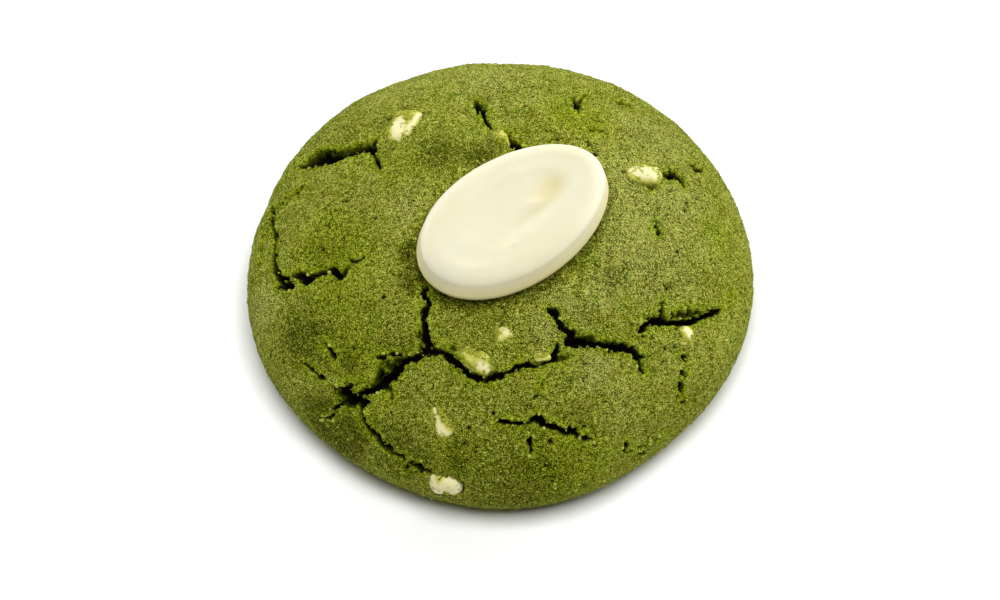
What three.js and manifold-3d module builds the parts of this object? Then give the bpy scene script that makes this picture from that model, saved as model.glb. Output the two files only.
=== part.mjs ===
// A round matcha cookie, whole and uncut: a domed dough that split open as it baked,
// an oval disc of white chocolate pressed on its top, and chunks of white chocolate
// that show where the dough parted round them.
// Millimetres, +Z up, origin at the middle of the flat base, front towards -Y.

import * as THREE from "three";
import { mergeVertices } from "three/addons/utils/BufferGeometryUtils.js";
import Module from "manifold-3d";

// ---------------------------------------------------------------- driving dimensions

// The dough: a dome over a rounded lower edge and a flat base.
const COOKIE_RADIUS = 34;
const WIDEST_HEIGHT = 7.2;
const DOME_RISE = 17.3;
const DOME_FULLNESS = 2.25; // 2 would be an ellipse, and more is fuller at the shoulder
const UNDERCUT_SHARE = 0.22; // how far the lower edge draws in, as a share of the radius
const UNDERCUT_ROUNDNESS = 0.9;

// How the outline leaves a true circle: waves round the rim, in shares of the radius.
const OUTLINE_WAVES = [
  { count: 2, cosine: 0.003, sine: 0.0035 },
  { count: 3, cosine: -0.0015, sine: 0.0055 },
  { count: 4, cosine: 0.003, sine: 0.001 },
  { count: 5, cosine: 0.003, sine: -0.005 },
];

// Slow swells of the crust, which is never quite smooth.
const SWELL_HEIGHT = 0.3;
const SWELL_LENGTH = 15;
const LIP_SINK = 0.45; // the crust rounds down towards a crack
const LIP_REACH = 2.4;

// How finely the dome is divided.
const DOUGH_SEGMENTS = 80;
const DOME_RINGS = 19;
const UNDERCUT_RINGS = 5;

// Cracks are wedges, cut along the surface.
const CRACK_STEP = 1.15; // length of one straight stretch of an edge
const CRACK_DEPTH_LEAST = 0.7;
const CRACK_DEPTH_PER_WIDTH = 1.5;
const CRACK_FLOOR_SHARE = 0.3; // width of the floor against the mouth
const CRACK_LIFT = 1.4; // how far a cutter stands out of the crust
const CRACK_WANDER = 0.22;
const CRACK_RAGGEDNESS = 0.35; // share of the half width by which each edge varies

// The hollow where two cracks meet at the front left.
const HOLLOW = { x: -19.5, y: -23, radius: 1.9, depth: 2.6 };

// The oval disc of white chocolate.
const DISC_LENGTH = 29.2;
const DISC_WIDTH = 18.9;
const DISC_TAPER = 0.045; // how much narrower it is towards its right end
const DISC_THICKNESS = 4.8;
const DISC_BOTTOM = 23.9;
const DISC_CENTRE = { x: 1.8, y: -2.7 };
const DISC_TURN = 40; // degrees, anticlockwise from +X
const DISC_FOOT_ROUNDING = 1.4;
const DISC_RIM_ROUNDING = 0.9;
const DISC_WALL_DRAFT = 0.6; // how far the wall leans in on its way up
const DISC_DISH = 0.55; // how far the top is hollowed
const DISC_CROWN = 0.35; // share of that by which the middle rises again
const DISC_SEGMENTS = 44;
const DISC_CORNER_STEPS = 4;
const DISC_TOP_RINGS = 6;

// Clearance between neighbouring pieces.
const GAP = 0.3;

// Chunks of white chocolate: place on the crust, size along the crust, direction of
// the length in degrees from +X, and how far the chunk stands out of the crust.
const CHUNKS = [
  { name: "chunk_back_left", x: -13.5, y: 16, length: 6.4, width: 4.2, turn: 62, proud: 0.5 },
  { name: "chunk_back_right", x: 19.5, y: 8, length: 5, width: 3, turn: 6, proud: 0.6 },
  { name: "chunk_front_split", x: -3, y: -21.3, length: 4.8, width: 2.8, turn: -32, proud: 0.4 },
  { name: "chunk_under_disc", x: 0.5, y: -18, length: 2.4, width: 2, turn: 20, proud: 0.35 },
  { name: "chunk_front_slope", x: -7.5, y: -28, length: 4.4, width: 2.6, turn: 108, proud: 0.5 },
  { name: "chunk_front_foot", x: -7, y: -33.2, length: 4.4, width: 3.2, turn: -6, proud: 0.6 },
  { name: "chunk_right_gash", x: 25, y: -15, length: 3, width: 2.6, turn: 60, proud: 0.45 },
  { name: "chunk_back_split", x: 0, y: 12.3, length: 2.8, width: 2.1, turn: 120, proud: 0.35 },
  { name: "chunk_front_sliver", x: 5.5, y: -20.6, length: 2.2, width: 1.2, turn: 12, proud: 0.3 },
];
const CHUNK_THICKNESS_SHARE = 0.9; // against the width
const CHUNK_BOXINESS = 0.72; // 1 is an ellipsoid, and less is squarer
const CHUNK_UNEVENNESS = 0.12;
const CHUNK_DETAIL = 1;

// Cracks, each a run of [x, y, width] over the crust.
const CRACKS = [
  {
    name: "back left ledge",
    run: [
      [-28, 13.5, 0.6],
      [-23, 13, 1.8],
      [-17, 12, 1.1],
      [-15.5, 8, 0.3],
    ],
  },
  {
    name: "left side",
    run: [
      [-30.5, -6, 0.8],
      [-26.5, -6.5, 1.7],
      [-21, -8, 0.6],
      [-19, -6, 0.4],
    ],
  },
  {
    name: "left rim",
    run: [
      [-31, 7, 0.4],
      [-30.5, -1, 0.6],
      [-29.5, -5.5, 0.5],
    ],
  },
  {
    name: "back",
    run: [
      [-3.5, 20, 0.7],
      [-2, 16, 0.8],
      [1, 12.5, 0.8],
      [3.5, 10, 0.4],
    ],
  },
  {
    name: "back right",
    run: [
      [12, 23, 0.4],
      [10.5, 20, 0.8],
      [11, 18, 0.3],
    ],
  },
  {
    name: "right chip",
    run: [
      [21.5, 8.7, 0.8],
      [24, 9.5, 0.5],
      [25.5, 8, 0.3],
    ],
  },
  {
    name: "trunk",
    run: [
      [-9.5, -9.5, 0.6],
      [-10, -14, 0.8],
      [-9.5, -19.5, 1.5],
    ],
  },
  {
    name: "trunk to hollow",
    run: [
      [-9.5, -19.3, 1.4],
      [-13, -21, 1],
      [-16, -22.5, 1.4],
      [-19.5, -23, 1.5],
    ],
  },
  {
    name: "front left drop",
    run: [
      [-19.5, -23.5, 0.8],
      [-17.5, -27, 0.7],
      [-13, -30, 0.5],
      [-10, -32, 0.4],
    ],
  },
  {
    name: "front arc",
    run: [
      [-9.5, -19.5, 0.9],
      [-4.5, -23, 1.1],
      [0, -22.8, 0.5],
      [4, -21.5, 0.5],
      [9, -18, 1],
    ],
  },
  {
    name: "disc to front arc",
    run: [
      [6, -14, 0.4],
      [7.5, -15, 0.9],
      [9.5, -18, 1.2],
    ],
  },
  {
    name: "front right",
    run: [
      [9.3, -17.9, 1.2],
      [13, -18.6, 0.9],
      [17, -18, 1],
      [19.5, -21, 0.3],
    ],
  },
  {
    name: "right gash",
    run: [
      [18.5, -15, 0.6],
      [21.5, -13.5, 1.8],
      [25.5, -12.5, 0.8],
      [29.5, -9, 0.4],
    ],
  },
  {
    name: "front",
    run: [
      [-0.5, -28.5, 0.4],
      [5.5, -28, 1.1],
      [9.5, -29, 0.9],
      [12, -29.3, 0.3],
    ],
  },
];

const COLOURS = { dough: 0x7c822c, chocolate: 0xf4edcf };

// ---------------------------------------------------------------- solids and chance

const wasm = await Module();
wasm.setup();

// A closed geometry as a solid: only its corner points matter, and shared ones are merged.
function solidFrom(geometry) {
  const bare = geometry.clone();
  bare.deleteAttribute("normal");
  bare.deleteAttribute("uv");
  const merged = mergeVertices(bare, 1e-4);
  return new wasm.Manifold(
    new wasm.Mesh({
      numProp: 3,
      vertProperties: merged.attributes.position.array,
      triVerts: new Uint32Array(merged.index.array),
    }),
  );
}

function geometryFrom(solid) {
  const { vertProperties, triVerts } = solid.getMesh();
  const geometry = new THREE.BufferGeometry();
  geometry.setAttribute("position", new THREE.BufferAttribute(vertProperties, 3));
  geometry.setIndex(new THREE.BufferAttribute(triVerts, 1));
  geometry.computeVertexNormals();
  return geometry;
}

// Crumbs that a cut sets loose are dropped: the largest body is the cookie.
function largestBody(solid) {
  const bodies = solid.decompose();
  return bodies.reduce((best, body) => (body.volume() > best.volume() ? body : best));
}

// Evenly spread numbers from -1 to 1, the same on every run.
function seededSpread(seed) {
  let state = seed;
  return () => {
    state = (Math.imul(state, 1664525) + 1013904223) >>> 0;
    return (state / 2 ** 31) - 1;
  };
}

// Moves every corner of a geometry with a function that changes the given vector.
function reshape(geometry, move) {
  const position = geometry.getAttribute("position");
  const point = new THREE.Vector3();
  for (let i = 0; i < position.count; i++) {
    point.fromBufferAttribute(position, i);
    move(point);
    position.setXYZ(i, point.x, point.y, point.z);
  }
  return geometry;
}

// ---------------------------------------------------------------- the dome's formula

// The cookie's radius in one direction of the plan.
function rimRadius(angle) {
  const wave = ({ count, cosine, sine }) =>
    cosine * Math.cos(count * angle) + sine * Math.sin(count * angle);
  return COOKIE_RADIUS * OUTLINE_WAVES.reduce((sum, w) => sum + wave(w), 1);
}

// The point of the plain dome over a place in plan.
function domePoint(x, y) {
  const share = Math.min(1, Math.hypot(x, y) / rimRadius(Math.atan2(y, x)));
  const height = Math.sqrt(1 - share ** DOME_FULLNESS);
  return new THREE.Vector3(x, y, WIDEST_HEIGHT + DOME_RISE * height);
}

// The dome's outward direction there: the gradient of share^fullness + height^2.
function domeNormal({ x, y, z }) {
  const radius = Math.max(Math.hypot(x, y), 1e-6);
  const rim = rimRadius(Math.atan2(y, x));
  const outward = (DOME_FULLNESS * (radius / rim) ** (DOME_FULLNESS - 1)) / rim;
  const upward = (2 * (z - WIDEST_HEIGHT)) / DOME_RISE ** 2;
  return new THREE.Vector3((x / radius) * outward, (y / radius) * outward, upward).normalize();
}

// ---------------------------------------------------------------- cracks

function crackCurve({ run }) {
  return new THREE.CatmullRomCurve3(run.map(([x, y]) => domePoint(x, y)), false, "centripetal");
}

// A crack's width at a share of its run, straight between the named places.
function crackWidth({ run }, share) {
  const place = share * (run.length - 1);
  const first = Math.min(Math.floor(place), run.length - 2);
  return THREE.MathUtils.lerp(run[first][2], run[first + 1][2], place - first);
}

// A box along the crack, bent to follow the dome. Its x runs across the crack, its y out
// of the crust and its z along the run. The mouth is wide and the floor narrow.
function crackCutter(crack, seed) {
  const curve = crackCurve(crack);
  const steps = Math.max(3, Math.round(curve.getLength() / CRACK_STEP));
  const spread = seededSpread(seed);
  const stations = Array.from({ length: steps + 1 }, (_, i) => {
    const share = i / steps;
    const centre = curve.getPoint(share);
    const normal = domeNormal(domePoint(centre.x, centre.y));
    const along = curve.getTangent(share);
    const across = new THREE.Vector3().crossVectors(normal, along).normalize();
    const width = crackWidth(crack, share);
    const wander = i % steps ? CRACK_WANDER * spread() : 0;
    centre.copy(domePoint(centre.x, centre.y)).addScaledVector(across, wander);
    return {
      centre,
      normal,
      across,
      left: (width / 2) * (1 + CRACK_RAGGEDNESS * spread()),
      right: (width / 2) * (1 + CRACK_RAGGEDNESS * spread()),
      depth: CRACK_DEPTH_LEAST + CRACK_DEPTH_PER_WIDTH * width,
    };
  });
  return reshape(new THREE.BoxGeometry(1, 1, 1, 1, 1, steps), (point) => {
    const station = stations[Math.round((point.z + 0.5) * steps)];
    const { centre, normal, across, left, right, depth } = station;
    const half = point.x < 0 ? -left : right;
    const flare = 1 + ((1 - CRACK_FLOOR_SHARE) * CRACK_LIFT) / depth;
    const out = point.y > 0 ? CRACK_LIFT : -depth;
    const widthShare = point.y > 0 ? flare : CRACK_FLOOR_SHARE;
    point.copy(centre).addScaledVector(across, half * widthShare).addScaledVector(normal, out);
  });
}

// The rounded hollow at the end of the widest crack.
function hollowCutter() {
  const centre = domePoint(HOLLOW.x, HOLLOW.y);
  const ball = new THREE.IcosahedronGeometry(1, 2);
  ball.scale(HOLLOW.radius, HOLLOW.radius, HOLLOW.depth);
  ball.applyQuaternion(
    new THREE.Quaternion().setFromUnitVectors(new THREE.Vector3(0, 0, 1), domeNormal(centre)),
  );
  return ball.translate(centre.x, centre.y, centre.z);
}

// ---------------------------------------------------------------- the dough

// Half a section of the dough, from the middle of the base round the edge to the top,
// as shares of the radius against heights.
function doughProfile() {
  const profile = [new THREE.Vector2(0, 0), new THREE.Vector2((1 - UNDERCUT_SHARE) / 2, 0)];
  for (let i = 0; i < UNDERCUT_RINGS; i++) {
    const turn = (Math.PI / 2) * (1 - i / UNDERCUT_RINGS);
    const share = 1 - UNDERCUT_SHARE * (1 - Math.max(0, Math.cos(turn)) ** UNDERCUT_ROUNDNESS);
    profile.push(new THREE.Vector2(share, WIDEST_HEIGHT * (1 - Math.sin(turn))));
  }
  for (let i = 0; i < DOME_RINGS; i++) {
    const turn = (Math.PI / 2) * (i / DOME_RINGS);
    const share = Math.cos(turn) ** (2 / DOME_FULLNESS);
    profile.push(new THREE.Vector2(share, WIDEST_HEIGHT + DOME_RISE * Math.sin(turn)));
  }
  profile.push(new THREE.Vector2(0, WIDEST_HEIGHT + DOME_RISE));
  return profile;
}

// Height of the crust's slow swells at a point: two crossed waves.
function swell({ x, y, z }) {
  const turn = (2 * Math.PI) / SWELL_LENGTH;
  return SWELL_HEIGHT * Math.sin(turn * (x + 0.6 * z)) * Math.sin(turn * (y - 0.4 * x) + 1);
}

// How far the crust rounds down beside a crack.
function lipSink(point, crackPlaces) {
  const nearest = Math.min(...crackPlaces.map((place) => place.distanceTo(point)));
  return LIP_SINK * Math.exp(-((nearest / LIP_REACH) ** 2));
}

function doughBlank() {
  const blank = new THREE.LatheGeometry(doughProfile(), DOUGH_SEGMENTS);
  blank.rotateX(Math.PI / 2);
  const crackPlaces = CRACKS.flatMap((crack) => {
    const curve = crackCurve(crack);
    return curve.getPoints(Math.round(curve.getLength()));
  });
  return reshape(blank, (point) => {
    const rim = rimRadius(Math.atan2(point.y, point.x));
    point.set(point.x * rim, point.y * rim, point.z);
    const rise = Math.min(1, point.z / WIDEST_HEIGHT);
    const lift = rise * (swell(point) - lipSink(point, crackPlaces));
    const out = new THREE.Vector3(point.x, point.y, Math.max(0, point.z - WIDEST_HEIGHT));
    point.addScaledVector(out.normalize(), lift);
  });
}

function doughSolid() {
  let dough = solidFrom(doughBlank());
  CRACKS.forEach((crack, i) => {
    dough = dough.subtract(solidFrom(crackCutter(crack, 100 + i)));
  });
  dough = dough.subtract(solidFrom(hollowCutter()));
  CHUNKS.forEach((chunk, i) => {
    dough = dough.subtract(solidFrom(chunkGeometry(chunk, 200 + i, GAP)));
  });
  dough = dough.subtract(solidFrom(discGeometry(GAP)));
  return largestBody(dough);
}

// ---------------------------------------------------------------- chunks

// A broken lump: a ball pressed towards a box, uneven by three crossed waves, laid on
// the crust with its thin way outwards. It grows by a clearance when it is a socket.
function chunkGeometry({ x, y, length, width, turn, proud }, seed, clearance = 0) {
  const spread = seededSpread(seed);
  const phases = [spread(), spread(), spread()].map((share) => share * Math.PI);
  const half = new THREE.Vector3(length, width, width * CHUNK_THICKNESS_SHARE).multiplyScalar(0.5);
  const crust = domePoint(x, y);
  const normal = domeNormal(crust);
  const lay = new THREE.Quaternion()
    .setFromUnitVectors(new THREE.Vector3(0, 0, 1), normal)
    .multiply(
      new THREE.Quaternion().setFromAxisAngle(
        new THREE.Vector3(0, 0, 1),
        THREE.MathUtils.degToRad(turn),
      ),
    );
  const square = (share) => Math.sign(share) * Math.abs(share) ** CHUNK_BOXINESS;
  const centre = crust.addScaledVector(normal, proud - half.z);
  return reshape(new THREE.IcosahedronGeometry(1, CHUNK_DETAIL), (point) => {
    const wave = Math.sin(4 * point.x + phases[0]) * Math.sin(4 * point.y + phases[1]);
    const uneven = 1 + CHUNK_UNEVENNESS * (wave + 0.6 * Math.sin(5 * point.z + phases[2]));
    point.set(square(point.x), square(point.y), square(point.z)).multiplyScalar(uneven);
    point.multiply(new THREE.Vector3(half.x + clearance, half.y + clearance, half.z + clearance));
    point.applyQuaternion(lay).add(centre);
  });
}

// ---------------------------------------------------------------- the disc

// A section from the middle of the underside round the rim to the middle of the top.
// Each place has a share (how far out it lies), an inset from the oval edge and a height.
function discProfile(clearance) {
  const foot = { share: 1, inset: DISC_FOOT_ROUNDING, height: -clearance };
  const profile = [{ ...foot, share: 0 }, { ...foot, share: 0.5 }];
  const corner = (rounding, lean, middle, from) => {
    for (let i = 0; i <= DISC_CORNER_STEPS; i++) {
      const turn = THREE.MathUtils.degToRad(from + (90 * i) / DISC_CORNER_STEPS);
      const inset = lean + rounding - (rounding + clearance) * Math.cos(turn);
      const height = middle + (rounding + clearance) * Math.sin(turn);
      profile.push({ share: 1, inset, height });
    }
  };
  corner(DISC_FOOT_ROUNDING, 0, DISC_FOOT_ROUNDING, -90);
  corner(DISC_RIM_ROUNDING, DISC_WALL_DRAFT, DISC_THICKNESS - DISC_RIM_ROUNDING, 0);
  for (let i = DISC_TOP_RINGS - 1; i >= 0; i--) {
    const share = i / DISC_TOP_RINGS;
    const dish = clearance ? 0 : DISC_DISH * (1 - share ** 4) * (1 - DISC_CROWN * (1 - share ** 2));
    profile.push({
      share,
      inset: DISC_WALL_DRAFT + DISC_RIM_ROUNDING,
      height: DISC_THICKNESS + clearance - dish,
    });
  }
  return profile;
}

// A lathe whose rings are ovals: the profile's place number and the direction round the
// lathe give each corner its place. Its seam closes when equal corners are merged.
function discGeometry(clearance = 0) {
  const profile = discProfile(clearance);
  const column = profile.map((place, i) => new THREE.Vector2(place.share ? 1 : 0, i));
  const disc = new THREE.LatheGeometry(column, DISC_SEGMENTS);
  disc.rotateX(Math.PI / 2);
  reshape(disc, (point) => {
    const { share, inset, height } = profile[Math.round(point.z)];
    const angle = Math.atan2(point.y, point.x);
    point.set(
      share * (DISC_LENGTH / 2 - inset) * Math.cos(angle),
      share * (DISC_WIDTH / 2 - inset) * Math.sin(angle) * (1 - DISC_TAPER * Math.cos(angle)),
      height,
    );
  });
  disc.rotateZ(THREE.MathUtils.degToRad(DISC_TURN));
  return disc.translate(DISC_CENTRE.x, DISC_CENTRE.y, DISC_BOTTOM);
}

// ---------------------------------------------------------------- assembly

function piece(name, geometry, color, roughness) {
  const material = new THREE.MeshStandardMaterial({ color, roughness, metalness: 0 });
  const mesh = new THREE.Mesh(geometry, material);
  mesh.name = name;
  return mesh;
}

const cookie = new THREE.Group();
cookie.name = "matcha_cookie";
cookie.add(piece("dough", geometryFrom(doughSolid()), COLOURS.dough, 0.9));
cookie.add(piece("chocolate_disc", discGeometry(), COLOURS.chocolate, 0.45));
CHUNKS.forEach((chunk, i) => {
  cookie.add(piece(chunk.name, chunkGeometry(chunk, 200 + i), COLOURS.chocolate, 0.5));
});

export default cookie;
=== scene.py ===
# %% [markdown]
# # A matcha cookie, made of surfaces
#
# The real object is one ball of green tea dough that spread and split open in the oven, with an
# oval of white chocolate pressed on its top and chunks of the same chocolate in its crust.
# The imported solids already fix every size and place. This lesson keeps them as a fixed frame and
# builds fine surfaces over them. Everything is worked out in millimetres and turned into metres
# at the moment it becomes a mesh.

# %% Load the frame
import itertools
import math

import bpy
import numpy as np
from mathutils import Euler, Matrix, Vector


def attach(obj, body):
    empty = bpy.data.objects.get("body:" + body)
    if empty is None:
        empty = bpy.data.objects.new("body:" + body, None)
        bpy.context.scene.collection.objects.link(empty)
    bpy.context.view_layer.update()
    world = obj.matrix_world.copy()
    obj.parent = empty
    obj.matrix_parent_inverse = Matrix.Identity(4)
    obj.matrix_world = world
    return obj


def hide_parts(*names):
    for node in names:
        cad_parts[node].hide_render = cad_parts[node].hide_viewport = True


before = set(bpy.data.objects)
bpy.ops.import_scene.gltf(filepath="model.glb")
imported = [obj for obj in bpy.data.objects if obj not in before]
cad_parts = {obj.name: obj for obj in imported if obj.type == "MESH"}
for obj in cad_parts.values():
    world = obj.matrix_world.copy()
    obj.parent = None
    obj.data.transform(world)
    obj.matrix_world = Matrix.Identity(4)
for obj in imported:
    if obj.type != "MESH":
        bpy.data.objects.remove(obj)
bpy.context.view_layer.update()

MM = 0.001
# TINY is too small to matter, and FAR is more than any gap that is compared with it.
TINY = 1e-9
FAR = 9.0
print("solids in the frame:", sorted(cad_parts))

# %% [markdown]
# ## The camera
#
# A cookie is photographed from above and in front. The outline of the dome told how steeply:
# a round dome looks less round the lower the camera stands. A long lens half a metre away keeps
# the far side nearly as large as the near side, as in product pictures.

# %% Camera
CAMERA_PITCH = 57.6
CAMERA_DISTANCE = 500.0
CAMERA_AIM = Vector((0.0, -4.46, 9.14))
CAMERA_LENS = 133.9
CAMERA_SENSOR = 36.0
CAMERA_NEAREST = 10.0
CAMERA_FARTHEST = 10000.0


def add_camera():
    """Stands the camera at a distance from its aim, straight in front, pitched down."""
    pitch = math.radians(CAMERA_PITCH)
    backwards = Vector((0.0, -math.cos(pitch), math.sin(pitch)))
    data = bpy.data.cameras.new("camera")
    data.lens = CAMERA_LENS
    data.sensor_width = CAMERA_SENSOR
    data.clip_start = CAMERA_NEAREST * MM
    data.clip_end = CAMERA_FARTHEST * MM
    camera = bpy.data.objects.new("camera", data)
    camera.location = (CAMERA_AIM + CAMERA_DISTANCE * backwards) * MM
    camera.rotation_euler = (math.pi / 2 - pitch, 0.0, 0.0)
    bpy.context.scene.collection.objects.link(camera)
    bpy.context.scene.camera = camera
    return camera


camera = add_camera()
print("camera stands at, mm:", [round(side / MM, 1) for side in camera.location])

# %% [markdown]
# ## Light
#
# The picture is a bright studio shot on a white sweep. The top and the right flank of the dome
# are bright, the front is darker, and the shadow is short all round. One lamp gives either a
# bright back or a short shadow, so there are three. A large soft lamp hangs overhead, a little
# to the front. Two long low lamps stand behind the cookie. They rake over the crust, which
# brightens the back and brings out the grain, and are too low to darken the floor.

# %% Lamps and world
WORLD_LIGHT = 0.04
LAMPS = {
    "top_lamp": dict(place=(43, -203, 978), size=(520, 520), power=10.4),
    "low_lamp_right": dict(place=(771, 602, 208), size=(900, 340), power=9.2),
    "low_lamp_left": dict(place=(-629, 749, 208), size=(500, 340), power=5.8),
}


def add_lamp(name, place, size, power):
    """A soft rectangular lamp that faces the middle of the cookie."""
    data = bpy.data.lights.new(name, "AREA")
    data.shape = "RECTANGLE"
    data.size, data.size_y = (side * MM for side in size)
    data.energy = power
    lamp = bpy.data.objects.new(name, data)
    lamp.location = Vector(place) * MM
    lamp.rotation_euler = (-Vector(place)).to_track_quat("-Z", "Y").to_euler()
    lamp.visible_camera = False
    bpy.context.scene.collection.objects.link(lamp)


def set_world():
    """A faint light from all round, so that no crack is lost in pure black."""
    world = bpy.data.worlds.new("studio")
    world.use_nodes = True
    background = world.node_tree.nodes["Background"]
    background.inputs["Color"].default_value = (1.0, 1.0, 1.0, 1.0)
    background.inputs["Strength"].default_value = WORLD_LIGHT
    bpy.context.scene.world = world


for name, lamp in LAMPS.items():
    add_lamp(name, **lamp)
set_world()
bpy.context.scene.view_settings.view_transform = "Standard"
print("lamps:", list(LAMPS))

# %% [markdown]
# ## Meshes from arrays
#
# Every surface below is computed as whole arrays: one row for each corner, one row for each
# face. A few small helpers turn such arrays into Blender objects. The object stays at the origin
# and its place is in its corners.

# %% Faces of grids and rings
def grid_faces(rows, columns, closed=False):
    """Corner numbers of the four-sided faces of a grid that is stored row by row.
    With closed, the last column joins the first again."""
    number = np.arange(rows * columns).reshape(rows, columns)
    if closed:
        number = np.hstack([number, number[:, :1]])
    corners = (number[:-1, :-1], number[:-1, 1:], number[1:, 1:], number[1:, :-1])
    return np.stack(corners, axis=-1).reshape(-1, 4)


def fan_faces(ring, centre):
    """Triangles from each side of a ring of corner numbers to one centre corner."""
    following = np.roll(ring, -1)
    return np.stack([ring, following, np.full(len(ring), centre)], axis=-1)


def capped_faces(rows, columns):
    """Faces of rings that are stored one after another, each joined to the next. The first and
    the last ring are closed to a middle corner each, and these two corners follow the rings."""
    first, count = np.arange(columns), rows * columns
    start = fan_faces(first, count)[:, ::-1]
    end = fan_faces(first + count - columns, count + 1)
    return [grid_faces(rows, columns, closed=True), start, end]


# %% [markdown]
# Blender keeps a mesh as flat lists: the places of the corners, the corner numbers of all faces
# in one row, and where each face starts in that row. `foreach_set` fills each list in one go,
# which is far quicker than a face at a time. Numbers that a material needs go in as attributes.

# %% From arrays to objects
def add_piece(name, points, face_blocks, smooth=True):
    """An object from corner places in millimetres and blocks of faces. Each block is an array
    with one face in a row, so a block holds faces with equally many corners."""
    corners = np.concatenate([block.ravel() for block in face_blocks])
    sizes = np.concatenate([np.full(len(block), block.shape[1]) for block in face_blocks])
    starts = np.cumsum(sizes) - sizes
    mesh = bpy.data.meshes.new(name)
    mesh.vertices.add(len(points))
    mesh.vertices.foreach_set("co", (points * MM).astype(np.float32).ravel())
    mesh.loops.add(len(corners))
    mesh.loops.foreach_set("vertex_index", corners.astype(np.int32))
    mesh.polygons.add(len(sizes))
    mesh.polygons.foreach_set("loop_start", starts.astype(np.int32))
    mesh.polygons.foreach_set("use_smooth", np.full(len(sizes), smooth))
    mesh.update(calc_edges=True)
    piece = bpy.data.objects.new(name, mesh)
    bpy.context.scene.collection.objects.link(piece)
    triangles = int((sizes - 2).sum())
    print(f"{name}: {len(points)} corners, {triangles} triangles")
    return piece


def give_values(piece, name, values):
    """Stores one number for each corner, for the materials to read."""
    attribute = piece.data.attributes.new(name, "FLOAT", "POINT")
    attribute.data.foreach_set("value", np.asarray(values, np.float32))


# %% [markdown]
# ## The floor
#
# The white sweep is a flat disc so wide that its rim is never in view. It is there for the
# shadow alone, and it isn't part of the cookie.

# %% The floor's disc
FLOOR_RADIUS = 2600.0
FLOOR_SEGMENTS = 96


def add_floor():
    """A flat round sweep, as a ring of corners round a middle."""
    angle = np.linspace(0, 2 * np.pi, FLOOR_SEGMENTS, endpoint=False)
    ring = FLOOR_RADIUS * np.stack([np.cos(angle), np.sin(angle), 0 * angle], axis=-1)
    points = np.vstack([ring, np.zeros((1, 3))])
    return add_piece("floor", points, [fan_faces(np.arange(FLOOR_SEGMENTS), FLOOR_SEGMENTS)])


floor = add_floor()

# %% [markdown]
# ## Chance that repeats
#
# Crust is uneven at every scale. Random numbers here come from a formula on a lattice, so each
# run gives the same cookie. `soft_noise` blends the random numbers of the eight lattice corners
# round a point. `crumb_cells` puts one centre in each cube and measures to the nearest one,
# which gives round grains that touch, as crumbs do. The lattice is turned out of line with the
# cookie, so that its rows don't show.

# %% Random numbers on a lattice
LATTICE_TURN = np.array(Euler((0.5, 0.9, 0.3)).to_matrix())
CELL_FACTORS = (73856093, 19349663, 83492791)
SEED_FACTOR = 40503
FOLDS = ((13, 1274126177), (16, 2246822519))
LAST_FOLD = 15
LOW_32_BITS = 0xFFFFFFFF
LOW_24_BITS = 0xFFFFFF


def scatter(cells, seed):
    """A number from 0 to 1 for each lattice cell: its three whole numbers are multiplied by
    large odd numbers and joined, then folded onto themselves until no pattern is left."""
    cells = cells.astype(np.int64)
    first, second, third = (cells[..., axis] * factor for axis, factor in enumerate(CELL_FACTORS))
    mixed = (first ^ second ^ third ^ (seed * SEED_FACTOR)) & LOW_32_BITS
    for shift, factor in FOLDS:
        mixed = ((mixed ^ (mixed >> shift)) * factor) & LOW_32_BITS
    return ((mixed ^ (mixed >> LAST_FOLD)) & LOW_24_BITS) / LOW_24_BITS


def soft_noise(points, size, seed):
    """Smooth random values from -1 to 1 that change over about one size: the values at the
    eight corners of the cube round a point, weighted by how near the point is to each."""
    place = points @ LATTICE_TURN / size
    corner = np.floor(place)
    part = place - corner
    part = part * part * (3 - 2 * part)
    total = np.zeros(len(points))
    for step in itertools.product((0, 1), repeat=3):
        weight = np.prod(np.where(step, part, 1 - part), axis=1)
        total += weight * scatter(corner + step, seed)
    return 2 * total - 1


def noise_sum(points, layers, seed):
    """A sum of soft noises, each with the size over which it changes and its height."""
    return sum(height * soft_noise(points, size, seed + k)
               for k, (size, height) in enumerate(layers))


def crumb_cells(points, size, seed):
    """Distance to the nearest random centre, one centre in each cube, as a share of the
    cube's side, and a random number that belongs to that centre."""
    place = points @ LATTICE_TURN / size
    home = np.floor(place)
    nearest = np.full(len(points), FAR)
    label = np.zeros(len(points))
    for step in itertools.product((-1, 0, 1), repeat=3):
        cube = home + step
        centre = cube + np.stack([scatter(cube, seed + k) for k in range(3)], axis=-1)
        gap = np.linalg.norm(place - centre, axis=1)
        closer = gap < nearest
        nearest = np.where(closer, gap, nearest)
        label = np.where(closer, scatter(cube, seed + 3), label)
    return nearest, label


# %% [markdown]
# Two curves come back all through the cookie. A bell stands for everything that is strongest at
# a line or a place and fades round it. A smooth slope stands for everything that sets in.

# %% Bell and slope
def bell(distance, reach):
    """1 at no distance, 0.37 at the reach, and soon nothing: e to the minus share squared."""
    return np.exp(-((distance / reach) ** 2))


def ease(value, low, high):
    """0 below low, 1 above high and a smooth slope between them."""
    share = np.clip((value - low) / (high - low), 0, 1)
    return share * share * (3 - 2 * share)


print("a bell at 0, 1 and 2 reaches:", bell(np.arange(3), 1).round(2))

# %% [markdown]
# ## The dome
#
# In section the cookie is a full dome over a rounded lower edge that draws in to a flat base.
# Both halves are superellipses: a circle's formula with other powers. The section is measured
# along its own length, so that a share of 0 is the middle of the top and 1 the edge of the base.
# Round the plan, four slow waves take the outline away from a true circle.

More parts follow.
